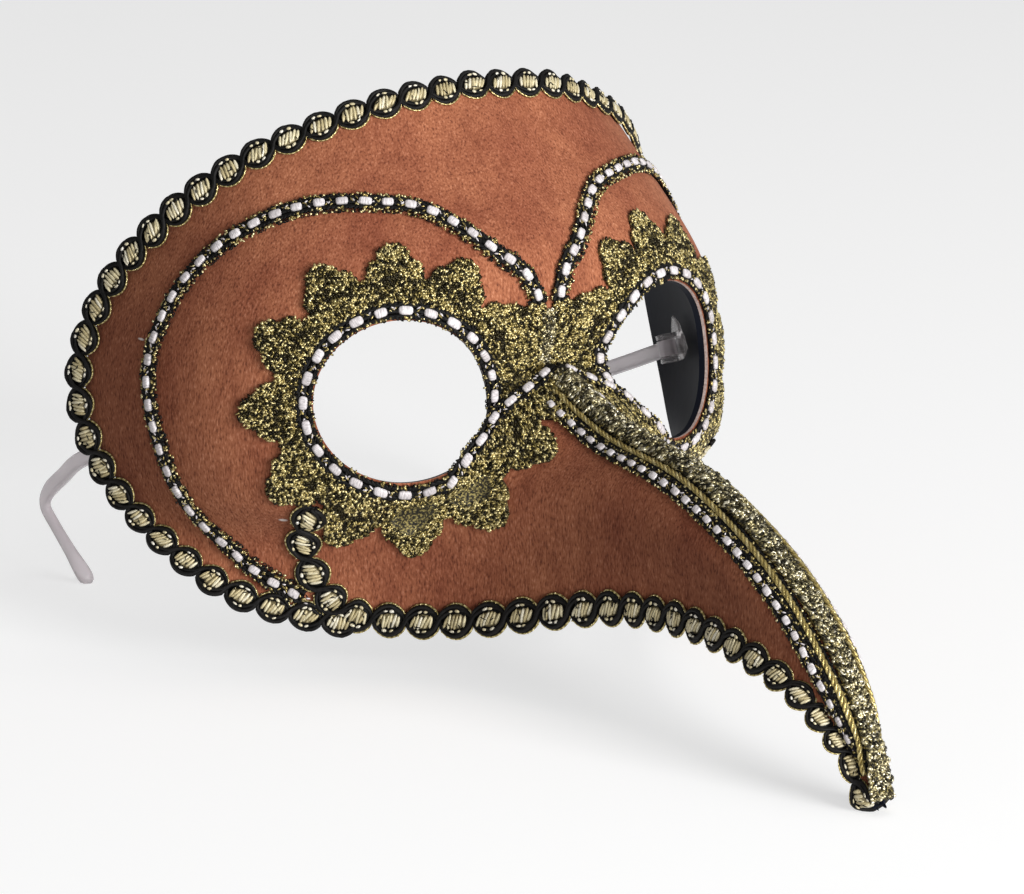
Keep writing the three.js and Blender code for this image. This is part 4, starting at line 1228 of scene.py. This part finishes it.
def eye_lace():
    rng = np.random.default_rng(23)
    spots = spread(0.575, *LACE_FIELD, in_lace, 5)
    shaded_hollow = in_crescent(spots)
    parts = [lace_ground_part()]
    parts += grains_on(spots[~shaded_hollow], rng)
    # Grains in the crescents lie lower and are mostly painted dark as shade.
    parts += grains_on(spots[shaded_hollow], rng, (0.72, 0.88), 0.85)
    loops = spread(2.7, *LACE_FIELD, in_lace, 6)
    parts += loops_on(loops[~in_crescent(loops)], 0.78, rng)
    flat = gather(parts)
    print("grains in one eye's lace:", len(spots), "loops:", len(loops))
    return {**flat, "lay": flat["points"], "points": on_chart(flat["points"])}


finish_pair("eye_lace_laid", turned_over(eye_lace()), [lace_thread, lace_ground], "eye_lace")

# %% [markdown]
# ## The ridge of the beak
# A strip of bright metal lace covers the ridge, and a rope of three gold plies edged with a black
# thread runs on each side of it.

# %% Ridge cords
def rope(run, radius=0.36, orbit=0.36, height=1.0):
    s = np.arange(0, run["length"], 0.42)
    parts = []
    for ply in range(3):
        angle = 2 * np.pi * (s / CORD_PITCH + ply / 3)
        line = line_of(s, orbit * np.cos(angle), height + orbit * np.sin(angle))
        parts.append(strand(line, radius, 6, 0, (0.42, 0.66, 0.5)[ply]))
    for side in (1, -1):
        parts.append(strand(line_of(s, side * 0.98, 0.55), 0.44, 5, 1, 0.2))
    rng = np.random.default_rng(17)
    for at in np.arange(0.4, run["length"], 0.7):
        for side in (1, -1):
            spot = (at + rng.uniform(-0.2, 0.2), side * rng.uniform(0.75, 1.35), rng.uniform(0.75, 0.95))
            parts.append(place(GRAIN, spot, rng.uniform(0, 180), (0.8, 0.45, 0.45), int(rng.uniform() < 0.7),
                               rng.uniform(0.2, 0.9)))
    return laid(run, gather(parts))


CORD_PITCH = 4.6
cord_track = track(ridge_line(5.2, 9.6, 4.1, 2.5), 2.6)
finish_pair("ridge_rope", rope(cord_track), [gold_thread, black_cord], "ridge_cord")

# %% [markdown]
# ### Ridge lace
# The strip is brighter and thicker than the eye lace and has a raised crown. It is scattered in the
# same way, with grains painted dark as shade or bright as glints, and five dull strands below stand
# for its ground, painted as the shade deep in the crochet, so that no cloth shows through.

# %% Crochet the ridge lace
RIDGE_LACE_LINE = [[2.98, 0.0], [4, 0.0], [5.12, 0.0], [7, 0.0], [8.5, 0.0], [9.6, 0.0], [9.93, 0.0]]
ridge_track = track(RIDGE_LACE_LINE, 6.2)
TAIL_CROSSES = 17.0


def ridge_half(s):
    """Half the strip's width: narrow over the bridge, wide between the eyes, narrow at the tip."""
    length = ridge_track["length"]
    wide = 2.0 + 1.0 * smooth_step(s, TAIL_CROSSES, TAIL_CROSSES + 9)
    wide = wide - 0.9 * smooth_step(s, TAIL_CROSSES + 40, length - 16)
    return wide + 0.8 * smooth_step(s, length - 12, length - 4)


def ridge_height(s, x):
    beak = smooth_step(s, TAIL_CROSSES, TAIL_CROSSES + 6)
    crown = 1.0 + 0.85 * beak + 0.3 * np.sin(s * 1.8) * beak
    return crown - 0.07 * x * x - 0.7 * np.exp(-((s - TAIL_CROSSES) / 2.4) ** 2)


def on_ridge(spots):
    return np.abs(spots[:, 1]) < ridge_half(spots[:, 0])


def ridge_lace():
    rng = np.random.default_rng(31)
    length = ridge_track["length"]
    parts = []
    low, high = (0, -3.2), (length, 3.3)
    for s, x in spread(1.9, low, high, on_ridge, 7):
        scale = rng.uniform(0.7, 1.15)
        at = (s, x, ridge_height(s, x) + rng.uniform(0, 0.25))
        parts.append(place(LOOP, at, rng.uniform(0, 360), (scale, scale, scale * 1.2), 0, rng.uniform(0.1, 1),
                           rng.uniform(-50, 50)))
    # Grains are painted dark as shade between the stitches or bright as glints.
    for s, x in spread(0.58, low, high, on_ridge, 8):
        shade = rng.uniform(0, 0.25) if rng.uniform() < 0.46 else rng.uniform(0.45, 1.0)
        at = (s, x, ridge_height(s, x) - 0.15 + rng.uniform(-0.15, 0.3))
        size = (rng.uniform(0.75, 1.2), rng.uniform(0.45, 0.6), rng.uniform(0.5, 0.75))
        parts.append(place(GRAIN, at, rng.uniform(0, 360), size, 0, shade, rng.uniform(-40, 40)))
    # Dull strands of the lace ground below: painted shade deep in the crochet.
    line = np.arange(0, length, 0.6)
    for share in (-0.78, -0.4, 0.0, 0.4, 0.78):
        x = share * ridge_half(line)
        height = ridge_height(line, x) - 0.55
        parts.append(strand(line_of(line, x, height), 0.72, 6, 1, 0.4))
    return laid(ridge_track, gather(parts))


finish_piece("ridge_lace_laid", ridge_lace(), [ridge_thread, lace_ground], "ridge_lace")

# %% [markdown]
# ## Spectacle arms
# Each arm is a clear moulded strip that turns on the hinge pin, droops a little and hooks down
# round the ear, with a small drop at its end. The plastic is slightly milky, so it shows against
# white as a grey band with darker edges.

# %% Clear plastic
def clear_plastic(name, low, high, transmission, roughness):
    material = new_material(name, high, roughness)
    shader = principled(material)
    shader.inputs["Transmission Weight"].default_value = transmission
    shader.inputs["IOR"].default_value = 1.45
    coloured(material, ramp(material, noise(material, 45), [(0.3, low), (0.7, high)]))
    bump(material, noise(material, 260, 2.0, (1, 0.3, 1)), 0.08, 0.3)
    return material


milky = clear_plastic("milky_plastic", (0.9, 0.82, 0.85), (0.96, 0.9, 0.92), 0.42, 0.25)
clear = clear_plastic("clear_plastic", (0.92, 0.87, 0.88), (0.97, 0.94, 0.94), 0.75, 0.14)

# %% [markdown]
# ### The hinge
# The pin stands inside the temple, tilted back as much as the arm droops. Everything at the hinge
# is measured from it. The wearer's left arm stands open nine degrees more than the right one.

# %% Find the hinge
HINGE_PLACE = (4.28, 0.865)
ARM_DROP = math.radians(21.8)
PIN_LIFT = -7.2
LEFT_ARM_WIDER_DEG = 9
PIN_RADIUS, BARREL_RADIUS = 0.9, 2.4
PIN_AXIS = np.array([0, math.sin(ARM_DROP), math.cos(ARM_DROP)])
wall_normal = face_normal(*map(np.asarray, HINGE_PLACE))
hinge_away = unit(wall_normal - PIN_AXIS * (wall_normal @ PIN_AXIS))
PIN_AT = face_point(*HINGE_PLACE) + hinge_away * PIN_LIFT
print("pin of the right hinge:", to_frame(PIN_AT).round(5))


def opened(p, degrees):
    """Turned open about the right hinge's pin."""
    swing = np.array(Matrix.Rotation(math.radians(degrees), 3, Vector(PIN_AXIS)))
    return {**p, "points": (p["points"] - PIN_AT) @ swing.T + PIN_AT}


# %% [markdown]
# ### The strip of an arm
# A curve with a bevel would be the quick way, but its section can't change. So rings are swept
# along a line: flat-sided at the temple, drawn thinner in the hook and round in the end drop.

# %% Sweep the arms
ARM_LINE = np.array([
    [-70.6, 64.6, -18.6], [-68.8, 88, -27.8], [-66.8, 112.3, -37], [-64.9, 125.7, -44.4],
    [-63.3, 136.6, -51], [-62.7, 139.8, -55.6], [-61.6, 137.2, -60], [-60, 131.6, -66.4], [-58, 125.6, -73.6],
])
ARM_TALL, ARM_THICK = 4.0, 2.6
ARM_ROWS, ARM_SIDES = 110, 20


def temple_arm():
    fine = smooth_through(ARM_LINE, np.linspace(0, len(ARM_LINE) - 1, 400))
    gone = way_gone(fine)
    centres = read_at(np.linspace(0, gone[-1], ARM_ROWS), gone, fine)
    t = np.linspace(0, 1, ARM_ROWS)
    along = unit(np.gradient(centres, axis=0))
    inward = unit(np.array([1, 0.08, 0]))
    flat = unit(inward - along * (along @ inward)[:, None])
    tall = np.cross(along, flat)
    slim = 1 - 0.22 * np.sin(np.pi * np.clip((t - 0.7) / 0.26, 0, 1))
    swell = smooth_step(t, 0.9, 0.96)
    round_end = np.sqrt(np.maximum(1 - (np.maximum(t - 0.972, 0) / 0.0285) ** 2, 0.02))
    tall_half = ARM_TALL / 2 * slim * round_end
    flat_half = (ARM_THICK + (ARM_TALL - ARM_THICK) * swell) / 2 * slim * round_end
    angle = 2 * np.pi * np.arange(ARM_SIDES) / ARM_SIDES
    square = 0.62 + 0.38 * swell
    cos, sin = (np.sign(w) * np.abs(w) ** square[:, None] for w in (np.cos(angle), np.sin(angle)))
    ring = flat[:, None] * (flat_half[:, None] * cos)[..., None]
    ring = ring + tall[:, None] * (tall_half[:, None] * sin)[..., None]
    rings = centres[:, None] + ring
    rings = np.concatenate([(rings[0] + (PIN_AT - centres[0]))[None], rings])
    return tube(rings, rings[[0, -1]].mean(1))


def pin_cylinder(sign, radius, length, degrees):
    """A cylinder round one hinge's pin; degrees is not used."""
    deselect()
    bpy.ops.mesh.primitive_cylinder_add(vertices=48, radius=radius * MM, depth=length * MM)
    cylinder = bpy.context.object
    axis = Vector(PIN_AXIS)
    upright = Vector((0, 0, 1)).rotation_difference(axis).to_matrix().to_4x4()
    cylinder.data.transform(Matrix.Translation(to_frame(PIN_AT * [sign, 1, 1])) @ upright)
    return cylinder


# %% [markdown]
# ### Joining the barrel
# The arm ends in a short barrel that turns on the pin. It is joined to the strip and bored, with
# a small clearance round the pin.

# %% Make both arms
for side, sign, wider in (("right", 1, 0), ("left", -1, LEFT_ARM_WIDER_DEG)):
    arm_part = opened(temple_arm(), wider)
    arm_part = pressed_on_floor(arm_part if sign > 0 else mirrored(arm_part), 0.05)
    arm = finish_piece(f"clear_arm_{side}", arm_part, [milky], f"temple_arm_{side}",
                       f"temple_{side}")
    for radius, length, how in ((BARREL_RADIUS, ARM_TALL, "UNION"), (PIN_RADIUS + 0.3, 9, "DIFFERENCE")):
        tool = pin_cylinder(sign, radius, length, wider)
        apply_modifier(arm, "BOOLEAN", object=tool, operation=how, solver="EXACT")
        bpy.data.objects.remove(tool)
    bpy.ops.object.shade_smooth_by_angle(angle=math.radians(35))
    print(arm.name, "faces:", len(arm.data.polygons))

# %% [markdown]
# ### Hinge plates
# The plate is a teardrop glued inside the temple, with two lugs and the pin in one moulding. Its
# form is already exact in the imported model, so a copy is rebuilt in a fine even net, which lets
# its edges be rounded as a moulding's are.

# %% Round off the hinge plates
def moulded_copy(name, node_name, grain_mm, rounds):
    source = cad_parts[node_name]
    copy = bpy.data.objects.new(name, source.data.copy())
    bpy.context.scene.collection.objects.link(copy)
    apply_modifier(copy, "REMESH", mode="VOXEL", voxel_size=grain_mm * MM, use_smooth_shade=True)
    apply_modifier(copy, "SMOOTH", factor=0.5, iterations=rounds)
    copy.data.materials.clear()
    print(name, "faces:", len(copy.data.polygons))
    return copy


for side in ("right", "left"):
    plate = moulded_copy(f"clear_hinge_{side}", f"hinge_plate_{side}", 0.28, 4)
    plate.data.materials.append(clear)
    stands_for(plate, f"hinge_plate_{side}")
